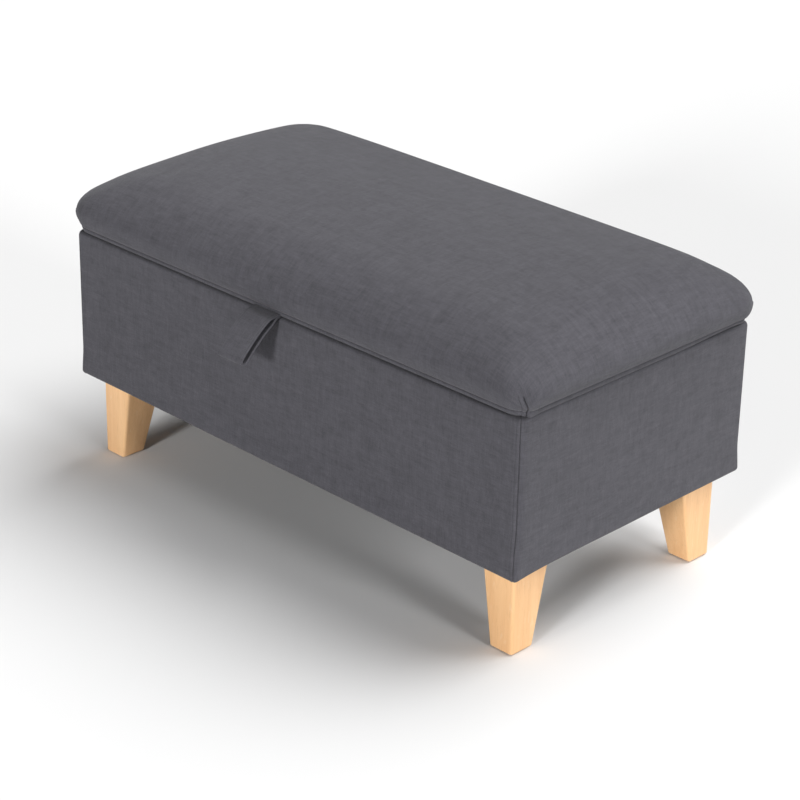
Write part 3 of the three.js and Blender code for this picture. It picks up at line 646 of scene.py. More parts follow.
def grey_nylon():
    nylon = Finish("grey_nylon", 0.5)
    scuffs = nylon.cloud(nylon.position(), 500, detail=3)
    nylon.colour(nylon.mix(scuffs, dark_nylon, pale_nylon))
    nylon.bump(scuffs, 0.0001, 0.3)
    return nylon.material


finishes = {
    "fabric": charcoal_weave(),
    "thread": stitching_thread(),
    "lining": black_nonwoven(),
    "leg_wood": natural_oak(),
    "board": pine_board(),
    "foam": cream_foam(),
    "steel": zinc_steel(),
    "bumper_rubber": black_rubber(),
    "nylon": grey_nylon(),
}


# Pieces
def add_piece(name, shape, finish, stands_for=(), body=None, sharp=40, thickness=None):
    """A mesh with its finish, on the body of the node that it stands for. An open sheet gets a thickness."""
    mesh = bpy.data.meshes.new(name)
    mesh.from_pydata(placed(shape.points).tolist(), [], shape.faces)
    corner_points = np.zeros(len(mesh.loops), int)
    mesh.loops.foreach_get("vertex_index", corner_points)
    layer = mesh.uv_layers.new(name="Weave")
    layer.data.foreach_set("uv", (shape.weave[corner_points] * MILLIMETRE).ravel())
    form = bmesh.new()
    form.from_mesh(mesh)
    bmesh.ops.remove_doubles(form, verts=form.verts, dist=1e-6)
    bmesh.ops.recalc_face_normals(form, faces=form.faces)
    if thickness is not None:
        middle_face = min(form.faces, key=lambda face: face.calc_center_median().xy.length)
        if middle_face.normal.z < 0:
            bmesh.ops.reverse_faces(form, faces=form.faces)
    form.to_mesh(mesh)
    form.free()
    piece = bpy.data.objects.new(name, mesh)
    bpy.context.scene.collection.objects.link(piece)
    if thickness is not None:
        solid = piece.modifiers.new("thickness", "SOLIDIFY")
        solid.thickness = thickness * MILLIMETRE
        solid.offset = -1
        settle(piece)
    piece.data.materials.clear()
    piece.data.materials.append(finishes[finish])
    piece.data.polygons.foreach_set("use_smooth", [True] * len(piece.data.polygons))
    piece.data.set_sharp_from_angle(angle=math.radians(sharp))
    if stands_for:
        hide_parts(*stands_for)
    if body is None and stands_for:
        body = frame["nodes"][stands_for[0]]["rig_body"]
    if body:
        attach(piece, body)
    return piece


def settle(piece):
    """Turns a piece and its modifiers into a plain mesh."""
    depsgraph = bpy.context.evaluated_depsgraph_get()
    piece.data = bpy.data.meshes.new_from_object(piece.evaluated_get(depsgraph))
    piece.modifiers.clear()


# Box covers
near_seam = [0, 0.3, 0.7, 1.2, 1.9, 2.8, 3.8, 4.3, 4.6, 4.8, 5.0, 5.3, 5.8, 6.8, 8.5, 11, 14.5, 20, 28]


def cover_section():
    """Inset and height of the box cover's section, its outside first and its back after that."""
    quarter = np.linspace(0, math.pi / 2, 6)
    hem = [(rim_inset, base_bottom), (13, base_bottom), (9, base_bottom)]
    low = [(bottom_edge_radius * (1 - math.sin(a)), base_bottom + bottom_edge_radius * (1 - math.cos(a)))
           for a in quarter]
    side_low, side_high = base_bottom + bottom_edge_radius, base_top - rim_edge_radius
    rise = [(0, height) for height in np.linspace(side_low, side_high, 24)[1:-1]]
    high = [(rim_edge_radius * (1 - math.cos(a)), side_high + rim_edge_radius * math.sin(a)) for a in quarter]
    fold = rim_fold_radius
    over = [(rim_inset - fold * (1 - math.sin(a)), base_top - fold * (1 - math.cos(a))) for a in quarter]
    outside = hem + low + rise + high + [(12.5, base_top)] + over
    back = [
        (rim_inset, carcass_top + seat_gap), (12, carcass_top + seat_gap), (padding, carcass_top + seat_gap),
        (padding, 270), (padding, 200), (padding, carcass_bottom - seat_gap),
        (12, carcass_bottom - seat_gap), (rim_inset, carcass_bottom - seat_gap),
    ]
    return np.array(outside), np.array(back)


def seam_drift(side, shares, height):
    """How far the corner seam wanders round its corner towards the front or back, low on the box."""
    wander = np.where(shares > 0, seam_wander[side, 1], seam_wander[side, -1])
    return wander * smooth_step(wander_top - height, 0, wander_fade)


def low_edge(side, shares):
    """How far the rolled lower edge hangs down, from one end of a side to the other."""
    start, end = edge_drop[side]
    share = (shares + 1) / 2
    if side == "right":
        share = 1 - (1 - share) ** edge_drop_power
    return start + (end - start) * share


def cover_reach(side):
    """How far a box cover goes from its middle to its corner seam."""
    return side_reach(side, base_half_length, base_half_depth, base_corner_radius, corner_seam_turn)[1]


def cover_surface(side, shares, insets, heights, outside=True):
    """Points of a box cover, with its seams, lap and unevenness where it is the outside."""
    reach = cover_reach(side)
    rows = []
    for inset, height in zip(insets, heights):
        over_bottom = height - base_bottom
        low_share = smooth_step(corner_tightening_height - over_bottom, 0, corner_tightening_height)
        tightened = 1 - corner_tightening_share * low_share
        radius = max(base_corner_radius * tightened - inset, smallest_corner_radius)
        drift = seam_drift(side, shares, height) * (-1 if is_long(side) else 1)
        from_seam = (1 - np.abs(shares)) * reach
        moved = shares * (1 + drift / reach * smooth_step(seam_reach - from_seam, 0, seam_reach))
        places, normals = side_points(
            side, moved, base_half_length - inset, base_half_depth - inset, radius, corner_seam_turn)
        lift = np.zeros(len(shares))
        rise = 0
        if outside:
            flat_part = smooth_step(from_seam, 4, seam_reach)
            level = height + 0.7 * inset
            wave = ripple(shares * reach, level, cover_wave_length, 3.7 + len(side))
            puckers = ripple(shares * reach, level * 2.6, pucker_length, 8.1)
            lift += cover_wave * wave * flat_part
            lift += pucker_height * puckers * hump(from_seam, 9, 8)
            lift -= corner_seam_depth * groove(from_seam, seam_groove_width)
            if is_long(side):
                lap_end = 1 - smooth_step(from_seam, 4.2, topstitch_distance)
                lift += lap_height * smooth_step(from_seam, 0.4, 1.6) * lap_end
                lift -= topstitch_sink * hump(from_seam, topstitch_distance, topstitch_width)
            rise = -low_edge(side, shares) * smooth_step(edge_drop_height - over_bottom, 0, edge_drop_height)
            rise *= 1 - smooth_step(inset, 5, 9)
            rise += rim_rise[side] * smooth_step(from_seam, 0, 30) * smooth_step(
                height, base_top - 14, base_top - rim_edge_radius) * (1 - smooth_step(inset, 14, 22))
        level_row = height + rise * np.ones(len(shares))
        if outside and inset > rim_edge_radius and height > base_top - 5:
            level_row += lift
            lift = lift * 0
        rows.append(np.column_stack([places + normals * lift[:, None], level_row]))
    return np.array(rows)


def base_cover(side):
    reach = cover_reach(side)
    shares = spaced(reach, near_seam, 9)
    outside, back = cover_section()
    front_rows = cover_surface(side, shares, outside[:, 0], outside[:, 1])
    back_rows = cover_surface(side, shares, back[:, 0], back[:, 1], outside=False)
    points = np.concatenate([front_rows, back_rows]).transpose(1, 0, 2)
    run = run_down(front_rows)[:, len(shares) // 2]
    back_run = run[-1] - run_down(back_rows)[:, len(shares) // 2]
    down = np.concatenate([run, back_run])
    along = shares * reach
    weave = np.stack(np.broadcast_arrays(along[:, None], down[None, :]), axis=-1)
    piece = add_piece(f"cover_{side}", tube(points, weave), "fabric", (f"base_cover_{side}",))
    flat = (2 * reach * MILLIMETRE, run[-1] * MILLIMETRE)


for side_name in SIDES:
    base_cover(side_name)


# Lid cover
near_dart = [0, 0.35, 0.8, 1.4, 2.2, 3.2, 4.3, 5.1, 5.7, 6.2, 6.7, 7.4, 9, 11.5, 15, 20, 27]
side_drops = [0, 0.1, 0.2, 0.32, 0.44, 0.56, 0.67, 0.77, 0.85, 0.91, 0.955, 0.985, 1]
lip_section = [(-1.5, 0.0), (-0.5, -0.6), (0.2, -1.3), (0.3, -2.5), (0.0, -3.6), (-0.5, -4.5),
               (-1.3, -5.1), (-2.3, -5.3), (-5, -5.3), (-12, -5.3), (-20, -5.3), (-30, -5.3)]


def roll_share(distance, reach):
    near = np.clip(distance / reach, 0, 1)
    return (1 - (1 - near) ** roll_power) ** (1 / roll_power)


def from_outline(x, y, half_length, half_depth, radius):
    """Distance in from the outline of a rounded rectangle."""
    in_x, in_y = half_length - np.abs(x), half_depth - np.abs(y)
    in_corner = radius - np.hypot(radius - in_x, radius - in_y)
    return np.where((in_x < radius) & (in_y < radius), in_corner, np.minimum(in_x, in_y))


def corner_share(x, y, half_length, half_depth, radius):
    """0 deep inside and 1 on the outline, growing evenly outward from a place inside each corner."""
    right = np.clip(np.abs(x) - half_length + roll_reach_end, 0, None)
    forward = np.clip(np.abs(y) - half_depth + roll_reach_side, 0, None)
    straight = np.maximum(right / roll_reach_end, forward / roll_reach_side)
    arc_x, arc_y = roll_reach_end - radius, roll_reach_side - radius
    squares = right ** 2 + forward ** 2 + 1e-9
    along = right * arc_x + forward * arc_y
    room = np.sqrt(np.clip(along ** 2 - squares * (arc_x ** 2 + arc_y ** 2 - radius ** 2), 0, None))
    in_corner = squares / (along + room + 1e-9)
    reached_x, reached_y = right / np.maximum(in_corner, 1e-6), forward / np.maximum(in_corner, 1e-6)
    return np.where((reached_x > arc_x) & (reached_y > arc_y), in_corner, straight)


def crown_level(x, y, inset=0):
    """Height of the domed top over a place."""
    half_length, half_depth = bulge_half_length - inset, bulge_half_depth - inset
    radius = bulge_radius - inset
    roll = roll_share(half_length - np.abs(x), roll_reach_end)
    roll = roll * roll_share(half_depth - np.abs(y), roll_reach_side)
    rim = np.clip(1 - corner_share(x, y, half_length, half_depth, radius), 0, 1)
    near_rim = 1 - smooth_step(from_outline(x, y, half_length, half_depth, radius), *rim_blend)
    roll = roll + (roll_share(rim, 1) - roll) * near_rim
    share_x = np.clip(np.abs(x) / half_length, 0, 1)
    share_y = np.clip(np.abs(y) / half_depth, 0, 1)
    crown = (1 - share_x ** crown_power_end) * (1 - share_y ** crown_power_side)
    return bulge_level + (roll_height - inset) * roll + crown_height * crown


def dart_turn(drop):
    return dart_turn_top + (dart_turn_low - dart_turn_top) * drop ** dart_power


def dart_lift(side, from_seam, strength):
    """How far the cloth stands out beside the corner dart: narrow on one side, fuller on the other."""
    if is_long(side):
        lift = narrow_pleat * smooth_step(from_seam, 0.6, 2) * (1 - smooth_step(from_seam, 4.8, 6.4))
        lift -= pleat_crease * hump(from_seam, 6.7, 0.8)
        lift -= dart_sink_long * groove(from_seam, dart_groove_long)
    else:
        lift = full_pleat * smooth_step(from_seam, 0.4, 4) * (1 - smooth_step(from_seam, 7, 26))
        lift -= dart_sink_end * groove(from_seam, dart_groove_end)
    return lift * strength


def lid_side(side, shares, reach, inset=0):
    """Rows of one side of the lid cover, from its widest line down to its lip and in under the board."""
    rows = []
    from_seam = (1 - np.abs(shares)) * reach
    top_places, _ = side_points(
        side, shares, bulge_half_length - inset, bulge_half_depth - inset, bulge_radius - inset,
        dart_turn_top)
    edge_level = crown_level(top_places[:, 0], top_places[:, 1], inset)
    tab_lift = hump(shares * reach, tab_middle, tab_width * tab_bulge_reach) * (side == "front")
    for drop in side_drops:
        draw = (1 - math.sqrt(1 - (side_roundness * drop) ** 2)) / (1 - math.sqrt(1 - side_roundness ** 2))
        radius = bulge_radius + (lip_radius - bulge_radius) * draw - inset
        places, normals = side_points(
            side, shares, bulge_half_length - bulge_end * draw - inset,
            bulge_half_depth - bulge_side * draw - inset, radius, dart_turn(drop))
        strength = smooth_step(drop, 0, 0.1)
        lift = dart_lift(side, from_seam, strength) + tab_lift * tab_bulge_side * drop
        level = edge_level + (lip_top - edge_level) * drop
        rows.append(np.column_stack([places + normals * lift[:, None], level]))
    if is_long(side):
        beside_dart = beside_dart_long * hump(from_seam, 2, 3)
    else:
        beside_dart = beside_dart_end * hump(from_seam, 5, 7)
    to_hinge = smooth_step(top_places[:, 1], *droop_fade)
    sag = lip_droop[side] * (1 - to_hinge) + lip_droop["back"] * to_hinge + beside_dart * (1 - to_hinge)
    for out, down in lip_section:
        if not is_long(side) and down > -1:
            out *= 0.5
        places, normals = side_points(
            side, shares, base_half_length + out - inset, base_half_depth + out - inset,
            max(lip_radius + min(out, 0) - inset, 1.5), dart_turn_low)
        fade = smooth_step(out, -6, -1)
        lift = dart_lift(side, from_seam, 0.8 * fade) + tab_lift * tab_bulge_side * fade
        level = lip_top + down - sag * fade * min(1, -down / lip_height)
        level = level + tab_lift * tab_bulge_lip * fade
        rows.append(np.column_stack([places + normals * lift[:, None], level]))
    return np.array(rows)


def lid_sheets(near, step, inset=0, sink=0):
    """Where the cover's columns lie along each side, its top sheet and its four sides."""
    reaches = {
        side: side_reach(side, bulge_half_length, bulge_half_depth, bulge_radius, dart_turn_top)[1]
        for side in SIDES
    }
    shares = {side: spaced(reaches[side], near, step) for side in SIDES}
    sides = {side: lid_side(side, shares[side], reaches[side], inset) for side in SIDES}
    flat_top = sheet_between({side: rows[0][:, :2] for side, rows in sides.items()})
    top = np.dstack([flat_top, crown_level(flat_top[..., 0], flat_top[..., 1], inset)])
    edge = from_outline(top[..., 0], top[..., 1], bulge_half_length, bulge_half_depth, bulge_radius)
    wave = lid_wave * ripple(top[..., 0], top[..., 1], lid_wave_length, 5.2)
    top[..., 2] += wave * smooth_step(edge, 5, 60)
    top[..., 2] -= sink * smooth_step(edge, 0, padding_reach)
    return shares, top, sides


def smooth_line(places, known, values):
    """A smooth line through known values, read at some places."""
    slopes = np.gradient(values, known)
    left = np.clip(np.searchsorted(known, places) - 1, 0, len(known) - 2)
    width = known[left + 1] - known[left]
    t = (places - known[left]) / width
    return (
        (2 * t ** 3 - 3 * t ** 2 + 1) * values[left] + (t ** 3 - 2 * t ** 2 + t) * width * slopes[left]
        + (3 * t ** 2 - 2 * t ** 3) * values[left + 1] + (t ** 3 - t ** 2) * width * slopes[left + 1]
    )


def taken_over(values, rows, columns, new_rows, new_columns):
    """Values on a coarse grid carried over to a finer one."""
    wide = np.apply_along_axis(lambda line: smooth_line(new_columns, columns, line), 1, values)
    return np.apply_along_axis(lambda line: smooth_line(new_rows, rows, line), 0, wide)


padding_pressure = 1.5
padding_sink = 5
padding_limit = 24
hold_strength = 0.9
hold_fade = 26


def pressed_out():
    """The lid cover's cloth simulated on a coarse copy: how far its top and sides move under the padding."""
    shares, top, sides = lid_sheets([0, 5, 12, 22], 21, sink=padding_sink)
    under_edge = {side: rows[-1][:, :2] for side, rows in sides.items()}
    under = sheet_between(under_edge)
    under = np.dstack([under, np.full(under.shape[:2], lid_bottom)])
    whole = covered(top, sides) + grid(under)
    points, place_of = np.unique(np.round(whole.points, 3), axis=0, return_inverse=True)
    place_of = place_of.reshape(-1)
    mesh = bpy.data.meshes.new("cloth_copy")
    faces = [tuple(place_of[list(face)]) for face in whole.faces]
    mesh.from_pydata((points * MILLIMETRE).tolist(), [], faces)
    form = bmesh.new()
    form.from_mesh(mesh)
    bmesh.ops.recalc_face_normals(form, faces=form.faces)
    form.to_mesh(mesh)
    form.free()
    copy = bpy.data.objects.new("cloth_copy", mesh)
    bpy.context.scene.collection.objects.link(copy)
    held = copy.vertex_groups.new(name="held")
    edge = from_outline(points[:, 0], points[:, 1], bulge_half_length, bulge_half_depth, bulge_radius)
    hold = np.where(points[:, 2] < bulge_level + 1, 1, hold_strength * (1 - smooth_step(edge, 0, hold_fade)))
    for vertex, strength in enumerate(hold.tolist()):
        held.add([vertex], strength, "REPLACE")
    cloth = copy.modifiers.new("padding", "CLOTH")
    cloth.settings.quality = 6
    cloth.settings.mass = 0.3
    cloth.settings.tension_stiffness = 30
    cloth.settings.compression_stiffness = 30
    cloth.settings.shear_stiffness = 12
    cloth.settings.bending_stiffness = 2
    cloth.settings.use_pressure = True
    cloth.settings.uniform_pressure_force = padding_pressure
    cloth.settings.effector_weights.gravity = 0
    cloth.settings.vertex_group_mass = "held"
    last_frame = 20
    cloth.point_cache.frame_start = 1
    cloth.point_cache.frame_end = last_frame
    for frame_number in range(1, last_frame + 1):
        bpy.context.scene.frame_set(frame_number)
    settled = copy.evaluated_get(bpy.context.evaluated_depsgraph_get()).to_mesh()
    after = np.zeros(len(points) * 3)
    settled.vertices.foreach_get("co", after)
    moved = (after.reshape(-1, 3) / MILLIMETRE - points)[place_of]
    bpy.data.objects.remove(copy)
    bpy.context.scene.frame_set(1)
    size = np.linalg.norm(moved, axis=1, keepdims=True)
    moved = moved * np.minimum(1, padding_limit / np.maximum(size, 1e-6))
    middle_rise = moved[top.shape[0] // 2 * top.shape[1] + top.shape[1] // 2, 2]
    print("cloth simulation: the middle rises", round(float(middle_rise), 2), "mm")
    moved = moved * padding_sink / middle_rise
    top_count = top.shape[0] * top.shape[1]
    moves = {"top": moved[:top_count].reshape(top.shape)}
    start = top_count
    for side, rows in sides.items():
        count = rows.shape[0] * rows.shape[1]
        moves[side] = moved[start:start + count].reshape(rows.shape)
        start += count
    return shares, moves


def broad_difference(top):
    """How far the top lies below the measured crown, without the small unevenness of the cloth."""
    x, y = top[..., 0].ravel(), top[..., 1].ravel()
    edge = from_outline(x, y, bulge_half_length, bulge_half_depth, bulge_radius)
    fade = smooth_step(edge, 0, 40)
    basis = np.stack([
        fade * (x / bulge_half_length) ** (2 * i) * (y / bulge_half_depth) ** (2 * j)
        for i in range(5) for j in range(5)
    ], axis=-1)
    missing = (crown_level(x, y) - top[..., 2].ravel()) * (fade > 0)
    shares, *_ = np.linalg.lstsq(basis, missing, rcond=None)
    return (basis @ shares).reshape(top.shape[:2])


def lid_cover():
    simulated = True
    shares, top, sides = lid_sheets(near_dart, 9, sink=padding_sink if simulated else 0)
    if simulated:
        coarse, moves = pressed_out()
        top += taken_over(moves["top"], coarse["right"], coarse["front"], shares["right"], shares["front"])
        for side, rows in sides.items():
            steps = np.arange(len(rows))
            rows += taken_over(moves[side], steps, coarse[side], steps, shares[side])
        top[..., 2] += broad_difference(top)
    shape = covered(top, sides)
    piece = add_piece("lid_cover", shape, "fabric", ("seat_cover",), thickness=cover_thickness)
    low, high = shape.weave.min(axis=0), shape.weave.max(axis=0)
    width, length = (high - low) * MILLIMETRE


lid_cover()


def lid_foam():
    """The foam block under the lid cover, domed like it."""
    inset = foam_inset
    low = span("seat_foam")[0][2]
    reaches = {
        side: side_reach(side, bulge_half_length - inset, bulge_half_depth - inset, bulge_radius - inset,
                         dart_turn_top)[1]
        for side in SIDES
    }
    shares = {side: spaced(reaches[side], [0, 3, 8, 16, 28], 24) for side in SIDES}
    sides = {}
    for side in SIDES:
        rows = []
        places, _ = side_points(
            side, shares[side], bulge_half_length - inset, bulge_half_depth - inset, bulge_radius - inset,
            dart_turn_top)
        edge_level = crown_level(places[:, 0], places[:, 1], inset)
        for share in (0, 0.25, 0.5, 0.75, 1):
            shrink = foam_draw * share ** 2
            ring, _ = side_points(
                side, shares[side], bulge_half_length - inset - shrink, bulge_half_depth - inset - shrink,
                bulge_radius - inset - shrink, dart_turn_top)
            rows.append(np.column_stack([ring, edge_level + (low - edge_level) * share]))
        sides[side] = np.array(rows)
    flat_top = sheet_between({side: rows[0][:, :2] for side, rows in sides.items()})
    top = np.dstack([flat_top, crown_level(flat_top[..., 0], flat_top[..., 1], inset)])
    flat_low = sheet_between({side: rows[-1][:, :2] for side, rows in sides.items()})
    under = grid(np.dstack([flat_low, np.full(flat_low.shape[:2], low)]))
    piece = add_piece("lid_foam", covered(top, sides) + under, "foam", ("seat_foam",))


lid_foam()


def rounded_ring(half_length, half_depth, radius, steps=8):
    """Places round a rounded rectangle, anticlockwise seen from above."""
    turns = np.linspace(0, math.pi / 2, steps + 1)
    ring = []
    for quarter, (side_x, side_y) in enumerate([(1, 1), (-1, 1), (-1, -1), (1, -1)]):
        middle_x, middle_y = side_x * (half_length - radius), side_y * (half_depth - radius)
        for turn in turns + quarter * math.pi / 2:
            ring.append((middle_x + radius * math.cos(turn), middle_y + radius * math.sin(turn)))
    return np.array(ring)


def lid_board():
    low, high = span("lid_board")
    rings = []
    for inset, height in [(1, low[2]), (0.3, low[2] + 0.3), (0, low[2] + 1), (0, high[2] - 1),
                          (0.3, high[2] - 0.3), (1, high[2])]:
        ring = rounded_ring(high[0] - inset, high[1] - inset, lip_radius - 1.5 - inset)
        rings.append(np.column_stack([ring, np.full(len(ring), height)]))
    add_piece("seat_board", tube(np.array(rings)), "board", ("lid_board",))


lid_board()


# Linings
lining_thickness = 0.8
lining_floor_slack = 1.2
lining_wall_slack = 1.3
liner_slack = 0.5
liner_hem = 16
underside_slack = 1.4
underside_thickness = 0.8


def tray(half_length, half_depth, radius, section, level, step=16):
    """A flat sheet and sides that follow a section of outward offsets and heights."""
    reaches = {side: side_reach(side, half_length, half_depth, radius, math.pi / 4)[1] for side in SIDES}
    shares = {side: spaced(reaches[side], [0, 2, 5, 12], step) for side in SIDES}
    sides = {}
    for side in SIDES:
        rows = []
        for out, height in section:
            places, _ = side_points(
                side, shares[side], half_length + out, half_depth + out, max(radius + out, 1.5), math.pi / 4)
            rows.append(np.column_stack([places, np.full(len(places), height)]))
        sides[side] = np.array(rows)
    flat = sheet_between({side: rows[0][:, :2] for side, rows in sides.items()})
    sheet = np.dstack([flat, np.full(flat.shape[:2], level)])
    return sheet, sides


def storage_lining():
    low, high = span("storage_lining")
    thickness = lining_thickness
    floor_level = low[2] + thickness
    half_length, half_depth = high[0] - thickness, high[1] - thickness
    bend = 5
    quarter = np.linspace(0, math.pi / 2, 5)
    section = [(bend * math.sin(a) - bend, floor_level + bend * (1 - math.cos(a))) for a in quarter]
    section += [(0, height) for height in np.linspace(floor_level + bend, high[2], 14)[1:]]
    section = [(out + bend, height) for out, height in section]
    sheet, sides = tray(half_length - bend, half_depth - bend, 3, section, floor_level)
    sheet[..., 2] += slack(lining_floor_slack, sheet[..., 0], sheet[..., 1], 150, 1.5) * smooth_step(
        np.minimum(half_length - np.abs(sheet[..., 0]), half_depth - np.abs(sheet[..., 1])), 8, 60)
    for side, rows in sides.items():
        if is_long(side):
            depth = smooth_step(rows[..., 2], floor_level + 5, floor_level + 50)
            depth *= 1 - smooth_step(rows[..., 2], high[2] - 50, high[2] - 8)
            inward = slack(lining_wall_slack, rows[..., 0], rows[..., 2] * 0.6, 70, 6.3) * depth
            rows[..., 1] += inward * (1 if side == "front" else -1)
    piece = add_piece(
        "box_lining", covered(sheet, sides), "lining", ("storage_lining",), thickness=thickness)
    width, length = (2 * (half_length + high[2] - floor_level) * MILLIMETRE,
                     2 * (half_depth + high[2] - floor_level) * MILLIMETRE)
    wall = (high[2] - floor_level) * MILLIMETRE
    width * length - 4 * wall * wall


storage_lining()


def lid_liner():
    low, high = span("lid_liner")
    section = [(0, high[2] - 0.3), (0, high[2] - 0.9), (-0.3, high[2] - 1.5), (-1, low[2] + 0.1)]
    section += [(-4, low[2]), (-11, low[2] + 0.1), (-12.5, low[2] + 0.7), (-liner_hem, low[2] + 0.8)]
    sheet, sides = tray(high[0], high[1], 6, section, high[2] - 0.3)
    half_length, half_depth = high[0] - liner_hem, high[1] - liner_hem
    flat = sheet_between({side: rows[-1][:, :2] for side, rows in sides.items()})
    under = np.dstack([flat, np.full(flat.shape[:2], low[2] + 0.8)])
    inner = np.minimum(half_length - np.abs(under[..., 0]), half_depth - np.abs(under[..., 1]))
    under[..., 2] -= slack(liner_slack, under[..., 0], under[..., 1], 90, 2.5) * smooth_step(inner, 0, 40)
    u, v = run_from_middle(under, 1), run_from_middle(under, 0)
    shape = covered(sheet, sides) + grid(under, np.stack([u, v], axis=-1))
    piece = add_piece("lid_underlining", shape, "lining", ("lid_liner",))


lid_liner()


def dust_cover():
    low, high = span("dust_cover")
    sheet, _ = tray(high[0], high[1], 2, [(0, high[2])], high[2])
    leg_low, leg_high = span("leg_front_right")
    leg_x, leg_y = (leg_low[0] + leg_high[0]) / 2, (leg_low[1] + leg_high[1]) / 2
    from_leg = np.hypot(np.abs(sheet[..., 0]) - abs(leg_x), np.abs(sheet[..., 1]) - abs(leg_y))
    from_edge = np.minimum(high[0] - np.abs(sheet[..., 0]), high[1] - np.abs(sheet[..., 1]))
    loose = smooth_step(from_leg, 55, 130) * smooth_step(from_edge, 3, 50)
    sheet[..., 2] -= slack(underside_slack, sheet[..., 0], sheet[..., 1], 80, 4.4) * loose
    u, v = run_from_middle(sheet, 1), run_from_middle(sheet, 0)
    shape = grid(sheet, np.stack([u, v], axis=-1))
    piece = add_piece("underside_cloth", shape, "lining", ("dust_cover",),
                      thickness=underside_thickness)


dust_cover()


# Legs
foot_length, foot_depth = 38, 40
leg_edge_radius = 4.2
foot_chamfer = 1.6
leg_top_inset = 0.5


def leg(corner):
    """A tapered leg with soft edges and a small chamfer round its foot."""
    low, high = span(f"leg_{corner}")
    side_x, side_y = np.sign(low[0] + high[0]), np.sign(low[1] + high[1])
    outer_x = max(abs(low[0]), abs(high[0]))
    outer_y = max(abs(low[1]), abs(high[1]))
    top_length, top_depth = high[0] - low[0], high[1] - low[1]
    edge, chamfer = leg_edge_radius, foot_chamfer
    heights = [0, 0.35, 0.9, chamfer, 3, 8, 24, 44, 64, 84, 104, high[2] - low[2] - 1, high[2] - low[2]]
    angles = np.linspace(0, math.pi / 2, 7)
    rings = []
    for height in heights:
        share = height / (high[2] - low[2])
        length = foot_length + (top_length - foot_length) * share
        depth = foot_depth + (top_depth - foot_depth) * share
        inset = chamfer * (1 - math.sqrt(1 - max(0, 1 - height / chamfer) ** 2)) if height < chamfer else 0
        if height == heights[-1]:
            inset = leg_top_inset
        ring = []
        for quarter, (sx, sy) in enumerate([(1, 1), (-1, 1), (-1, -1), (1, -1)]):
            centre_x = sx * (length / 2 - edge)
            centre_y = sy * (depth / 2 - edge)
            for angle in angles + quarter * math.pi / 2:
                x = centre_x + (edge - inset) * math.cos(angle)
                y = centre_y + (edge - inset) * math.sin(angle)
                ring.append((x, y))
        ring = np.array(ring)
        ring[:, 0] += side_x * (outer_x - length / 2)
        ring[:, 1] += side_y * (outer_y - depth / 2)
        rings.append(np.column_stack([ring, np.full(len(ring), low[2] + height)]))
    add_piece(f"oak_leg_{corner}", tube(np.array(rings)), "leg_wood", (f"leg_{corner}",), sharp=60)


def glide(corner):
    low, high = span(f"leg_glide_{corner}")
    radius = (high[0] - low[0]) / 2
    disc = lathe(rounded([(0, 0), (radius, 0), (radius, 1.5), (0, 1.5)], 0.5))
    nail = lathe([(0, 1.4), (1.5, 1.4), (1.5, high[2] - 2), (0, high[2])], 16)
    centre = (low + high) / 2
    add_piece(f"glide_{corner}", (disc + nail).moved(centre[0], centre[1]), "nylon", (f"leg_glide_{corner}",))


leg_corners = ["front_left", "front_right", "back_left", "back_right"]
for leg_corner in leg_corners:
    leg(leg_corner)
    glide(leg_corner)


# Pull tab
def tab_path():
    """The strip's middle line, as distance out from its root and height over it, and which side faces out."""
    straight = np.linspace(-tab_lead, 0, 6)
    root_half = tab_ply * tab_root_share
    run = tab_length * np.sin(np.linspace(0, math.pi / 2, 30))
    opened = np.clip((run - tab_stitched) / (tab_length * tab_belly_share - tab_stitched), 0, 1)
    half = root_half + (tab_belly - tab_ply) * np.sin(opened * math.pi / 2) ** 2
    into_tip = np.clip((run - tab_length + tab_tip) / tab_tip, 0, 1)
    half = half * np.sqrt(1 - into_tip ** 2)
    upper = np.column_stack([run, half])
    lower = np.column_stack([run, -half])[::-1][1:]
    loop = np.vstack([upper, lower])
    distances = np.linspace(0, tab_length, 321)
    slopes = np.radians(smooth_line(distances, *np.array(tab_slopes, float).T))
    step = distances[1]
    middle_out = np.concatenate([[0], np.cumsum(np.cos(slopes[1:]) * step)])
    middle_level = -np.concatenate([[0], np.cumsum(np.sin(slopes[1:]) * step)])
    angle = np.interp(loop[:, 0], distances, slopes)
    out = np.interp(loop[:, 0], distances, middle_out) + loop[:, 1] * np.sin(angle)
    level = np.interp(loop[:, 0], distances, middle_level) + loop[:, 1] * np.cos(angle)
    lead = np.column_stack([straight[:-1], np.full(5, root_half)])
    tail = np.column_stack([straight[:-1][::-1], np.full(5, -root_half)])
    return np.vstack([lead, np.column_stack([out, level]), tail])


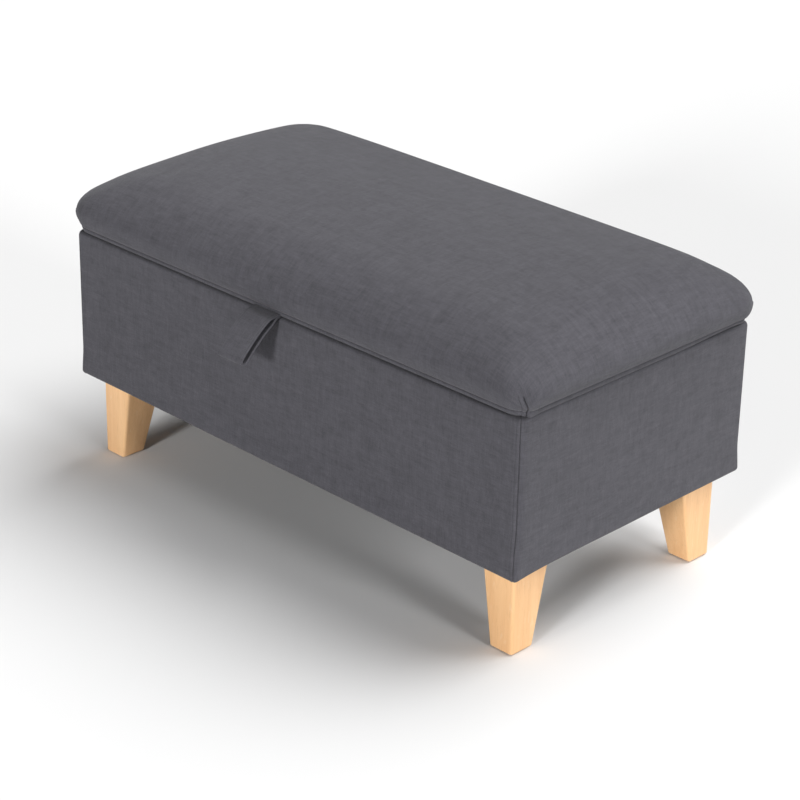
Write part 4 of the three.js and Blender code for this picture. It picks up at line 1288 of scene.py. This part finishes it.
def pull_tab():
    path = tab_path()
    steps = np.linalg.norm(np.diff(path, axis=0), axis=1)
    run = np.concatenate([[0], np.cumsum(steps)])
    tangent = np.gradient(path, run, axis=0)
    tangent /= np.linalg.norm(tangent, axis=1)[:, None]
    normal = np.column_stack([-tangent[:, 1], tangent[:, 0]])
    half_width, half_ply = tab_width / 2, tab_ply / 2
    across = np.array([0, 6, 12, 17, 18.6, 19.2, 19.7, 20.2, 20.8, 21.6, 22.6, 23.3])
    edge_turn = np.linspace(0, math.pi, 7)[1:-1]
    stitching = tab_stitch_sink * hump(across, tab_stitch_place, 0.5)
    half_section = list(zip(across, half_ply + tab_hem_rise * smooth_step(across, 18, 22) - stitching))
    edge = [(half_width - half_ply * (1 - math.sin(a)), (half_ply + 0.1) * math.cos(a)) for a in edge_turn]
    right = half_section + edge + [(x, -lift) for x, lift in half_section[::-1]]
    left = [(-x, lift) for x, lift in right[::-1][1:-1]]
    section = np.array(right + left)
    rings = []
    for place, up in zip(path, normal):
        bow = tab_bow * (1 - (section[:, 0] / half_width) ** 2) * smooth_step(place[0], 5, 40)
        lift = section[:, 1] + bow
        out = place[0] + up[0] * lift
        level = place[1] + up[1] * lift
        rings.append(np.column_stack([tab_middle + section[:, 0], tab_root_y - out, tab_root_z + level]))
    rings = np.array(rings)
    weave = np.stack(np.broadcast_arrays(section[:, 0][None, :], run[:, None]), axis=-1)
    stands_for = ("pull_tab", "pull_tab_sewn_end")
    piece = add_piece("tab_strip", tube(rings, weave), "fabric", stands_for, body="lid")
    piece.parent = None
    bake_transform(piece)


pull_tab()


# Metal parts
metal_thickness = 1.4
knuckle_radius = 3.15
knuckle_relief = 0.9
knuckle_gap = 0.4
end_knuckle = 18
leaf_distance = 1.0
hinge_screw_reach = 20
leaf_corner_radius = 1.6
knuckle_curl = 262
screw_hole_radius = 3.05
slot_reach = 1.75
slot_width = 0.62
slot_depth = 1.1
stay_pivots = {"base": (187.0, 273.1), "elbow": (-14.0, 259.1), "lid": (24.0, 329.1)}
stay_sheets = {"plate": (397.3, 399.3), "arm": (394.3, 396.8), "link": (391.3, 393.8), "ear": (388.8, 390.8)}
bar_end_radius = 9
pivot_hole_radius = 3.5
rivet_shaft_radius = 3.2
rivet_head_radius = 6
rivet_head_height = 1.4
rivet_play = 0.3
plate_width, plate_height, plate_corner_radius = 34, 56, 5
plate_screw_across, plate_screw_up = 11, 22
plate_offset = 8
plate_screw_length = 1.9
ear_half_width = 23
flange_width, flange_length, flange_thickness = 22, 46, 2
flange_screw_reach = 15
flange_screw_from_ear = 13


def shape_of(mesh):
    corners = [vertex.co[:] for vertex in mesh.vertices]
    return Shape(corners, [tuple(face.vertices) for face in mesh.polygons])


def flat_outline(points, holes=(), thickness=2.0, edge=0.25):
    """A flat plate over an outline, halved by its own plane, with holes and softened edges."""
    data = bpy.data.curves.new("outline", "CURVE")
    data.dimensions = "2D"
    data.fill_mode = "BOTH"
    for line in [points, *holes]:
        spline = data.splines.new("POLY")
        spline.points.add(len(line) - 1)
        for target, (x, y) in zip(spline.points, line):
            target.co = (x, y, 0, 1)
        spline.use_cyclic_u = True
    data.extrude = thickness / 2 - edge
    data.bevel_depth = edge
    data.bevel_resolution = 1
    data.offset = -edge
    holder = bpy.data.objects.new("outline", data)
    bpy.context.scene.collection.objects.link(holder)
    mesh = holder.evaluated_get(bpy.context.evaluated_depsgraph_get()).to_mesh()
    shape = shape_of(mesh)
    bpy.data.objects.remove(holder)
    return shape


def circle(x, y, radius, steps=24, start=0.0, end=360.0):
    whole = end - start >= 360
    angles = np.radians(np.linspace(start, end, steps + (not whole), endpoint=not whole))
    return [(x + radius * math.cos(angle), y + radius * math.sin(angle)) for angle in angles]


def rounded_plate(length, width, radius):
    return [tuple(place) for place in rounded_ring(length / 2, width / 2, radius, 5)]


def carved(shape, cutter):
    """A form with another one cut out of it."""
    pair = []
    for form in (shape, cutter):
        mesh = bpy.data.meshes.new("carved")
        mesh.from_pydata(form.points.tolist(), [], form.faces)
        edit = bmesh.new()
        edit.from_mesh(mesh)
        bmesh.ops.remove_doubles(edit, verts=edit.verts, dist=1e-4)
        bmesh.ops.recalc_face_normals(edit, faces=edit.faces)
        edit.to_mesh(mesh)
        edit.free()
        pair.append(bpy.data.objects.new("carved", mesh))
        bpy.context.scene.collection.objects.link(pair[-1])
    cut = pair[0].modifiers.new("cut", "BOOLEAN")
    cut.operation = "DIFFERENCE"
    cut.object = pair[1]
    mesh = pair[0].evaluated_get(bpy.context.evaluated_depsgraph_get()).to_mesh()
    result = shape_of(mesh)
    for holder in pair:
        bpy.data.objects.remove(holder)
    return result


def cross_slot(reach, width, low, high):
    """The tapering cross of a screwdriver slot."""
    arms = []
    for turn in (0, 1):
        rings = []
        for height, share in ((low, 0.45), (high, 1)):
            half_long, half_wide = reach * share, width / 2
            corners = [(-half_long, -half_wide), (half_long, -half_wide), (half_long, half_wide),
                       (-half_long, half_wide)]
            rings.append([(y, -x, height) if turn else (x, y, height) for x, y in corners])
        arms.append(tube(np.array(rings, float)))
    return arms


def with_slot(shape, reach, top):
    for arm in cross_slot(reach, slot_width, top - slot_depth, top + 0.2):
        shape = carved(shape, arm)
    return shape


AXES = {
    "up": ((1, 0, 0), (0, 1, 0), (0, 0, 1)),
    "down": ((1, 0, 0), (0, -1, 0), (0, 0, -1)),
    "inward": ((0, 1, 0), (0, 0, -1), (-1, 0, 0)),
    "sideways": ((0, 1, 0), (0, 0, 1), (1, 0, 0)),
}

sunk_screw = with_slot(
    lathe([(0, -14), (0.3, -13.9), (1.5, -10.5), (1.6, -1.6), (2.75, -0.25), (2.9, -0.1), (2.75, 0),
           (0, 0)], 28),
    slot_reach, 0)
pan_screw = with_slot(
    lathe([(0, -1), (1.6, -1), (3.3, 0), (3.45, 0.3), (3.35, 0.8), (2.8, 1.25), (1.8, 1.5), (0, 1.55)], 28),
    slot_reach, 1.5)


def hinge_leaf(side, below):
    """A leaf plate whose metal curls round the pin, in two outer knuckles or one middle one."""
    name = f"hinge_{'base' if below else 'lid'}_leaf_{side}"
    low, high = span(name)
    centre_x = (low[0] + high[0]) / 2
    half_length = (high[0] - low[0]) / 2
    pin_low, pin_high = span(f"hinge_pin_{side}")
    axis_y, axis_z = (pin_low[1] + pin_high[1]) / 2, (pin_low[2] + pin_high[2]) / 2
    near_edge = axis_y - knuckle_radius - knuckle_relief
    leaf_width = near_edge - low[1]
    direction = -1 if below else 1
    leaf_middle = direction * leaf_distance
    screw_low, screw_high = span(f"hinge_base_screw_{side}_1")
    screw_y = (screw_low[1] + screw_high[1]) / 2
    leaf_y = near_edge - leaf_width / 2
    spots = (-hinge_screw_reach, hinge_screw_reach)
    holes = [circle(spot, screw_y - leaf_y, screw_hole_radius, 28)[::-1] for spot in spots]
    outline = rounded_plate(2 * half_length, leaf_width, leaf_corner_radius)
    leaf = flat_outline(outline, holes, metal_thickness, 0.2)
    shape = leaf.moved(centre_x, leaf_y, axis_z + leaf_middle)
    middle_radius = knuckle_radius - metal_thickness / 2
    lead = np.linspace(-knuckle_radius - knuckle_relief - 0.6, 0, 12)
    drop = leaf_middle + (direction * middle_radius - leaf_middle) * smooth_step(lead, lead[1], 0)
    path = list(zip(lead, drop))
    for angle in np.radians(np.linspace(0, knuckle_curl, 30))[1:]:
        path.append((middle_radius * math.sin(angle), direction * middle_radius * math.cos(angle)))
    path = np.array(path)
    tangent = np.gradient(path, axis=0)
    tangent /= np.linalg.norm(tangent, axis=1)[:, None]
    normal = np.column_stack([-tangent[:, 1], tangent[:, 0]]) * metal_thickness / 2
    strip = [tuple(place) for place in np.vstack([path + normal, (path - normal)[::-1]])]
    if direction > 0:
        strip = strip[::-1]
    middle_half = half_length - end_knuckle - knuckle_gap
    spans = [(-half_length, -half_length + end_knuckle), (half_length - end_knuckle, half_length)]
    for start, end in spans if below else [(-middle_half, middle_half)]:
        curl = flat_outline(strip, (), end - start, 0.15).turned(*AXES["sideways"])
        shape = shape + curl.moved(centre_x + (start + end) / 2, axis_y, axis_z)
    add_piece(f"butt_hinge_{'lower' if below else 'upper'}_leaf_{side}", shape, "steel", (name,), sharp=35)


def hinge_pin(side):
    low, high = span(f"hinge_pin_{side}")
    half = (high[0] - low[0]) / 2
    head = [(0, -half), (1.6, -half), (2.3, -half + 0.25), (2.6, -half + 0.7), (2.5, -half + 1),
            (1.5, -half + 1)]
    profile = head + [(radius, -height) for radius, height in head[::-1]]
    centre = (low + high) / 2
    pin = lathe(profile, 24).turned(*AXES["sideways"])
    add_piece(f"hinge_rod_{side}", pin.moved(*centre), "steel", (f"hinge_pin_{side}",))


def hinge_screws(side):
    for number in (1, 2):
        for place, axes in (("base", "up"), ("lid", "down")):
            node = f"hinge_{place}_screw_{side}_{number}"
            low, high = span(node)
            top = high[2] if axes == "up" else low[2]
            shape = sunk_screw.turned(*AXES[axes]).moved((low[0] + high[0]) / 2, (low[1] + high[1]) / 2, top)
            add_piece(f"wood_screw_{place}_{side}_{number}", shape, "steel", (node,))


def along_side(shape, side, low, high):
    """A flat form stood up along the box's end, between two distances from the middle."""
    placed_shape = shape.turned(*AXES["sideways"]).moved((low + high) / 2, 0, 0)
    return mirrored_for(placed_shape, side)


def mirrored_for(shape, side):
    return shape if side == "right" else Shape(shape.points * (-1, 1, 1), shape.faces, shape.weave)


def rivet_head(place, start, outward):
    """A domed rivet head whose flat face lies at a distance from the middle."""
    radius, height = rivet_head_radius, rivet_head_height
    profile = [(0, 0), (radius * 0.93, 0), (radius, 0.12 * height), (radius * 0.97, 0.35 * height),
               (radius * 0.85, 0.65 * height), (radius * 0.6, 0.88 * height), (radius * 0.3, 0.98 * height),
               (0, height)]
    head = lathe(profile, 36).turned((0, 1, 0), (0, 0, outward), (outward, 0, 0))
    return head.moved(start, *place)


def shaft(place, radius, start, end):
    rod = lathe([(0, start), (radius, start), (radius, end), (0, end)], 28)
    return rod.turned(*AXES["sideways"]).moved(0, *place)


def stay_bar(from_place, to_place, sheet):
    """A flat bar with round ends and pivot holes."""
    (y0, z0), (y1, z1) = from_place, to_place
    direction = math.degrees(math.atan2(z1 - z0, y1 - y0))
    outline = circle(y0, z0, bar_end_radius, 18, direction + 90, direction + 270)
    outline += circle(y1, z1, bar_end_radius, 18, direction - 90, direction + 90)
    holes = [circle(y, z, pivot_hole_radius, 28)[::-1] for y, z in (from_place, to_place)]
    low, high = sheet
    return flat_outline(outline, holes, high - low, 0.35)


def stay(side):
    plate_low, plate_high = stay_sheets["plate"]
    base_y, base_z = stay_pivots["base"]
    plate_y = base_y - plate_offset
    spots = [(across, up) for across in (-plate_screw_across, plate_screw_across)
             for up in (-plate_screw_up, plate_screw_up)]
    holes = [circle(across, up, screw_hole_radius, 24)[::-1] for across, up in spots]
    outline = rounded_plate(plate_width, plate_height, plate_corner_radius)
    flat = flat_outline(outline, holes, plate_high - plate_low, 0.3)
    shape = flat.turned(*AXES["sideways"]).moved((plate_low + plate_high) / 2, plate_y, base_z)
    for across, up in spots:
        screw = sunk_screw.moved()
        screw.points[:, 2] = np.maximum(screw.points[:, 2], -plate_screw_length)
        shape = shape + screw.turned(*AXES["inward"]).moved(plate_low, plate_y + across, base_z + up)
    arm_low = stay_sheets["arm"][0]
    shape = shape + shaft(stay_pivots["base"], rivet_shaft_radius, arm_low - rivet_play, plate_high - 0.5)
    shape = shape + rivet_head(stay_pivots["base"], arm_low - rivet_play, -1)
    shape = mirrored_for(shape, side)
    add_piece(f"stay_plate_{side}", shape, "steel", (f"stay_base_plate_{side}",), sharp=35)

    for bar, node, start, end in (("lower", "arm", "base", "elbow"), ("upper", "link", "elbow", "lid")):
        flat_bar = stay_bar(stay_pivots[start], stay_pivots[end], stay_sheets[node])
        upright_bar = along_side(flat_bar, side, *stay_sheets[node])
        add_piece(f"stay_{bar}_bar_{side}", upright_bar, "steel", (f"stay_{node}_{side}",), sharp=35)

    inner, outer = stay_sheets["link"][0] - rivet_play, stay_sheets["arm"][1] + rivet_play
    rivet = shaft(stay_pivots["elbow"], rivet_shaft_radius, inner, outer)
    rivet = rivet + rivet_head(stay_pivots["elbow"], inner, -1)
    rivet = rivet + rivet_head(stay_pivots["elbow"], outer, 1)
    add_piece(f"stay_rivet_{side}", mirrored_for(rivet, side), "steel", (f"stay_elbow_rivet_{side}",))

    lid_y, lid_z = stay_pivots["lid"]
    ear_low, ear_high = stay_sheets["ear"]
    top = span(f"stay_lid_bracket_{side}")[1][2]
    round_end = circle(lid_y, lid_z, bar_end_radius, 18, 180, 360)
    ear = [(lid_y - ear_half_width, top - 0.4), *round_end, (lid_y + ear_half_width, top - 0.4)]
    shape = flat_outline(ear, (), ear_high - ear_low, 0.3).turned(*AXES["sideways"])
    shape = shape.moved((ear_low + ear_high) / 2, 0, 0)
    flange = flat_outline(rounded_plate(flange_width, flange_length, 2.5), (), flange_thickness, 0.3)
    shape = shape + flange.moved(ear_high - flange_width / 2, lid_y, top - flange_thickness / 2)
    for along in (-flange_screw_reach, flange_screw_reach):
        screw = pan_screw.turned(*AXES["down"])
        shape = shape + screw.moved(ear_high - flange_screw_from_ear, lid_y + along, top - flange_thickness)
    head_start = stay_sheets["link"][1] + rivet_play
    shape = shape + shaft(stay_pivots["lid"], rivet_shaft_radius, ear_low + 0.3, head_start)
    shape = shape + rivet_head(stay_pivots["lid"], head_start, 1)
    shape = mirrored_for(shape, side)
    add_piece(f"stay_bracket_{side}", shape, "steel", (f"stay_lid_bracket_{side}",), sharp=35)


def bumper(side):
    low, high = span(f"lid_bumper_{side}")
    centre = (low + high) / 2
    height = high[2] - low[2]
    profile = [(0, 0), (4.3, 0), (4.5, 0.2), (4.5, 0.5 * height), (4.3, 0.78 * height), (3.6, 0.94 * height),
               (2.5, height), (0, height)]
    shape = lathe(profile, 32).moved(centre[0], centre[1], low[2])
    add_piece(f"soft_bumper_{side}", shape, "bumper_rubber", (f"lid_bumper_{side}",))


for lid_end in ("left", "right"):
    hinge_leaf(lid_end, below=True)
    hinge_leaf(lid_end, below=False)
    hinge_pin(lid_end)
    hinge_screws(lid_end)
    stay(lid_end)
    bumper(lid_end)


# Staples and stitches
staple_half_back = 5.2
staple_wire = 0.4
staple_margin = 14
staple_pitch = 42
staple_shake = 1.1
staple_tilt = 0.16
staples_from_liner_edge = 7
staples_from_underside_edge = 8
staples_under_rim = 7
lining_staple_margin = 20
lining_staple_pitch = 45
lining_staple_shake = 1.0
staples_off_cloth = 0.85
stitch_profile = [(0, -0.35, 0.7), (0.12, 0.02, 1), (0.5, 0.12, 1), (0.88, 0.02, 1), (1, -0.35, 0.7)]
stitch_lift = 0.12
six_ways = np.arange(6) * math.pi / 3


def staples(name, places, across, outward, body):
    """Wire staples: each place has the direction that its back runs along and the way that it faces."""
    forms = []
    half = staple_half_back
    start = [(-half, -0.5), (-half, 0.12), (-half + 0.5, 0.32)]
    bends = start + [(-along, lift) for along, lift in start[::-1]]
    ring = np.array([(math.cos(turn), math.sin(turn)) for turn in six_ways]) * staple_wire
    for place, run, face in zip(places, across, outward):
        place, run, face = (np.array(value, float) for value in (place, run, face))
        side = np.cross(run, face)
        rings = []
        for along, lift in bends:
            upright = abs(along) == half
            first = run if upright else face
            rings.append([place + run * along + face * lift + (first * a + side * b) for a, b in ring])
        forms.append(tube(np.array(rings)))
    add_piece(name, joined(forms), "steel", body=body)


def staple_rows(half_length, half_depth, level):
    """Staple places along the four sides of a rectangle, with the directions they run along."""
    places, runs = [], []
    for side in SIDES:
        along_axis, out_axis = SIDES[side]
        half_along = half_length if is_long(side) else half_depth
        half_out = half_depth if is_long(side) else half_length
        count = int(2 * (half_along - staple_margin) / staple_pitch)
        for along in np.linspace(-half_along + staple_margin, half_along - staple_margin, count):
            shake = staple_shake * noise.noise(Vector((along * 0.7, half_out, 2.0)))
            flat = along_axis * along + out_axis * (half_out + shake)
            places.append((flat[0], flat[1], level))
            tilt = staple_tilt * noise.noise(Vector((along * 0.9, half_out, 7.0)))
            run = along_axis * math.cos(tilt) + out_axis * math.sin(tilt)
            runs.append((run[0], run[1], 0))
    return places, runs


def add_staples():
    low, high = span("lid_liner")
    inset = staples_from_liner_edge
    places, runs = staple_rows(high[0] - inset, high[1] - inset, low[2] + 0.02)
    staples("lid_staples", places, runs, [(0, 0, -1)] * len(places), "lid")

    low, high = span("dust_cover")
    inset = staples_from_underside_edge
    places, runs = staple_rows(high[0] - inset, high[1] - inset, high[2] - staples_off_cloth)
    staples("underside_staples", places, runs, [(0, 0, -1)] * len(places), "base")

    low, high = span("storage_lining")
    places, runs, faces = [], [], []
    for side in SIDES:
        along_axis, out_axis = SIDES[side]
        half_along = high[0] if is_long(side) else high[1]
        half_out = (high[1] if is_long(side) else high[0]) - staples_off_cloth
        end_place = half_along - lining_staple_margin
        for along in np.linspace(-end_place, end_place, int(2 * end_place / lining_staple_pitch)):
            shake = lining_staple_shake * noise.noise(Vector((along * 0.7, half_out, 5.0)))
            flat = along_axis * along + out_axis * half_out
            places.append((flat[0], flat[1], high[2] - staples_under_rim + shake))
            runs.append((along_axis[0], along_axis[1], 0))
            faces.append((-out_axis[0], -out_axis[1], 0))
    staples("lining_staples", places, runs, faces, "base")


def stitched_line(path, faces, length=3.1, pitch=3.9, radius=0.26):
    """Short rounded threads along a line of places, each dipping into the cloth at both ends."""
    steps = np.linalg.norm(np.diff(path, axis=0), axis=1)
    run = np.concatenate([[0], np.cumsum(steps)])
    forms = []
    for start in np.arange(pitch / 2, run[-1] - length, pitch):
        rings = []
        for share, lift, thickness_share in stitch_profile:
            at = start + length * share
            place = np.array([np.interp(at, run, path[:, axis]) for axis in range(3)])
            face = np.array([np.interp(at, run, faces[:, axis]) for axis in range(3)])
            ahead = np.array([np.interp(at + 0.5, run, path[:, axis]) for axis in range(3)]) - place
            ahead = ahead / max(np.linalg.norm(ahead), 1e-9)
            side = np.cross(ahead, face)
            thick = radius * thickness_share
            rings.append([
                place + face * (lift + thick * math.sin(turn)) + side * thick * math.cos(turn)
                for turn in six_ways
            ])
        forms.append(tube(np.array(rings)))
    return joined(forms)


def corner_stitches(side, end):
    share = np.array([end * (1 - topstitch_distance / cover_reach(side))])
    outside, _ = cover_section()
    rows = outside[(outside[:, 1] > base_bottom + 3) & (outside[:, 1] < base_top - 1.5) & (outside[:, 0] < 8)]
    path = cover_surface(side, share, rows[:, 0], rows[:, 1])[:, 0]
    _, normals = side_points(
        side, share, base_half_length, base_half_depth, base_corner_radius, corner_seam_turn)
    slope = np.clip(rows[:, 0] / rim_edge_radius, 0, 1) * (rows[:, 1] > 200)
    flat = np.sqrt(1 - slope ** 2)[:, None] * normals
    faces = np.column_stack([flat, slope])
    name = f"corner_stitches_{side}_{'left' if end < 0 else 'right'}"
    add_piece(name, stitched_line(path + faces * stitch_lift, faces), "thread", body="base")


add_staples()
for long_side in ("front", "back"):
    for seam_end in (-1, 1):
        corner_stitches(long_side, seam_end)


# Floor, light and camera
softboxes = [
    ("top_softbox", (0.2, 0.47, 0.86), 50, 3.27),
    ("front_softbox", (0.21, -0.94, 0.27), 11, 1.95),
    ("end_softbox", (0.94, -0.05, 0.33), 14, 1.28),
]
light_distance = 3
lit_height = 0.25
world_light = 0.08
backdrop_light = 0.95
camera_angles = (44.362, 25.199, 1.166)
camera_place = (2174.84, -2221.01, 1617.54)
picture_width = 800
focal_pixels = 2503.8
floor_reach = 8.0


def add_floor():
    mesh = bpy.data.meshes.new("studio_floor")
    half = floor_reach
    corners = [(-half, -half, 0), (half, -half, 0), (half, half, 0), (-half, half, 0)]
    mesh.from_pydata(corners, [], [(0, 1, 2, 3)])
    floor = bpy.data.objects.new("studio_floor", mesh)
    bpy.context.scene.collection.objects.link(floor)
    paper = Finish("studio_paper", 0.9)
    paper.colour(studio_white)
    mesh.materials.append(paper.material)


def add_light(name, direction, breadth, strength):
    """A far softbox of some breadth in degrees."""
    data = bpy.data.lights.new(name, "SUN")
    data.angle = math.radians(breadth)
    data.energy = strength
    light = bpy.data.objects.new(name, data)
    toward = Vector(direction).normalized()
    light.location = Vector((0, 0, lit_height)) + toward * light_distance
    light.rotation_euler = toward.to_track_quat("Z", "Y").to_euler()
    bpy.context.scene.collection.objects.link(light)


def add_world():
    """Soft light from all round, and a pale backdrop that only the camera sees."""
    world = bpy.data.worlds.new("studio")
    world.use_nodes = True
    nodes, links = world.node_tree.nodes, world.node_tree.links
    background = nodes["Background"]
    background.inputs["Color"].default_value = (1, 1, 1, 1)
    background.inputs["Strength"].default_value = world_light
    backdrop = nodes.new("ShaderNodeBackground")
    backdrop.inputs["Color"].default_value = (1, 1, 1, 1)
    backdrop.inputs["Strength"].default_value = backdrop_light
    seen = nodes.new("ShaderNodeLightPath")
    either = nodes.new("ShaderNodeMixShader")
    links.new(seen.outputs["Is Camera Ray"], either.inputs[0])
    links.new(background.outputs[0], either.inputs[1])
    links.new(backdrop.outputs[0], either.inputs[2])
    links.new(either.outputs[0], nodes["World Output"].inputs["Surface"])
    bpy.context.scene.world = world


def add_camera():
    turn, tilt, roll = (math.radians(angle) for angle in camera_angles)
    back = np.array([math.sin(turn) * math.cos(tilt), -math.cos(turn) * math.cos(tilt), math.sin(tilt)])
    right = np.cross(-back, [0, 0, 1])
    right /= np.linalg.norm(right)
    up = np.cross(right, -back)
    right, up = right * math.cos(roll) + up * math.sin(roll), up * math.cos(roll) - right * math.sin(roll)
    data = bpy.data.cameras.new("camera")
    data.sensor_width = 36
    data.lens = focal_pixels * data.sensor_width / picture_width
    camera = bpy.data.objects.new("camera", data)
    matrix = np.eye(4)
    matrix[:3, 0], matrix[:3, 1], matrix[:3, 2] = right, up, back
    matrix[:3, 3] = placed(camera_place)
    camera.matrix_world = Matrix(matrix.tolist())
    bpy.context.scene.collection.objects.link(camera)
    bpy.context.scene.camera = camera


add_floor()
add_world()
for softbox in softboxes:
    add_light(*softbox)
add_camera()
bpy.context.scene.view_settings.view_transform = "Standard"

# CAD nodes that stay, with their finishes
for subpart in frame["record"]["subparts"]:
    node = frame["nodes"][subpart["node"]]
    if not node.hide_render:
        node.data.materials.clear()
        node.data.materials.append(finishes[subpart["material_slot"]])
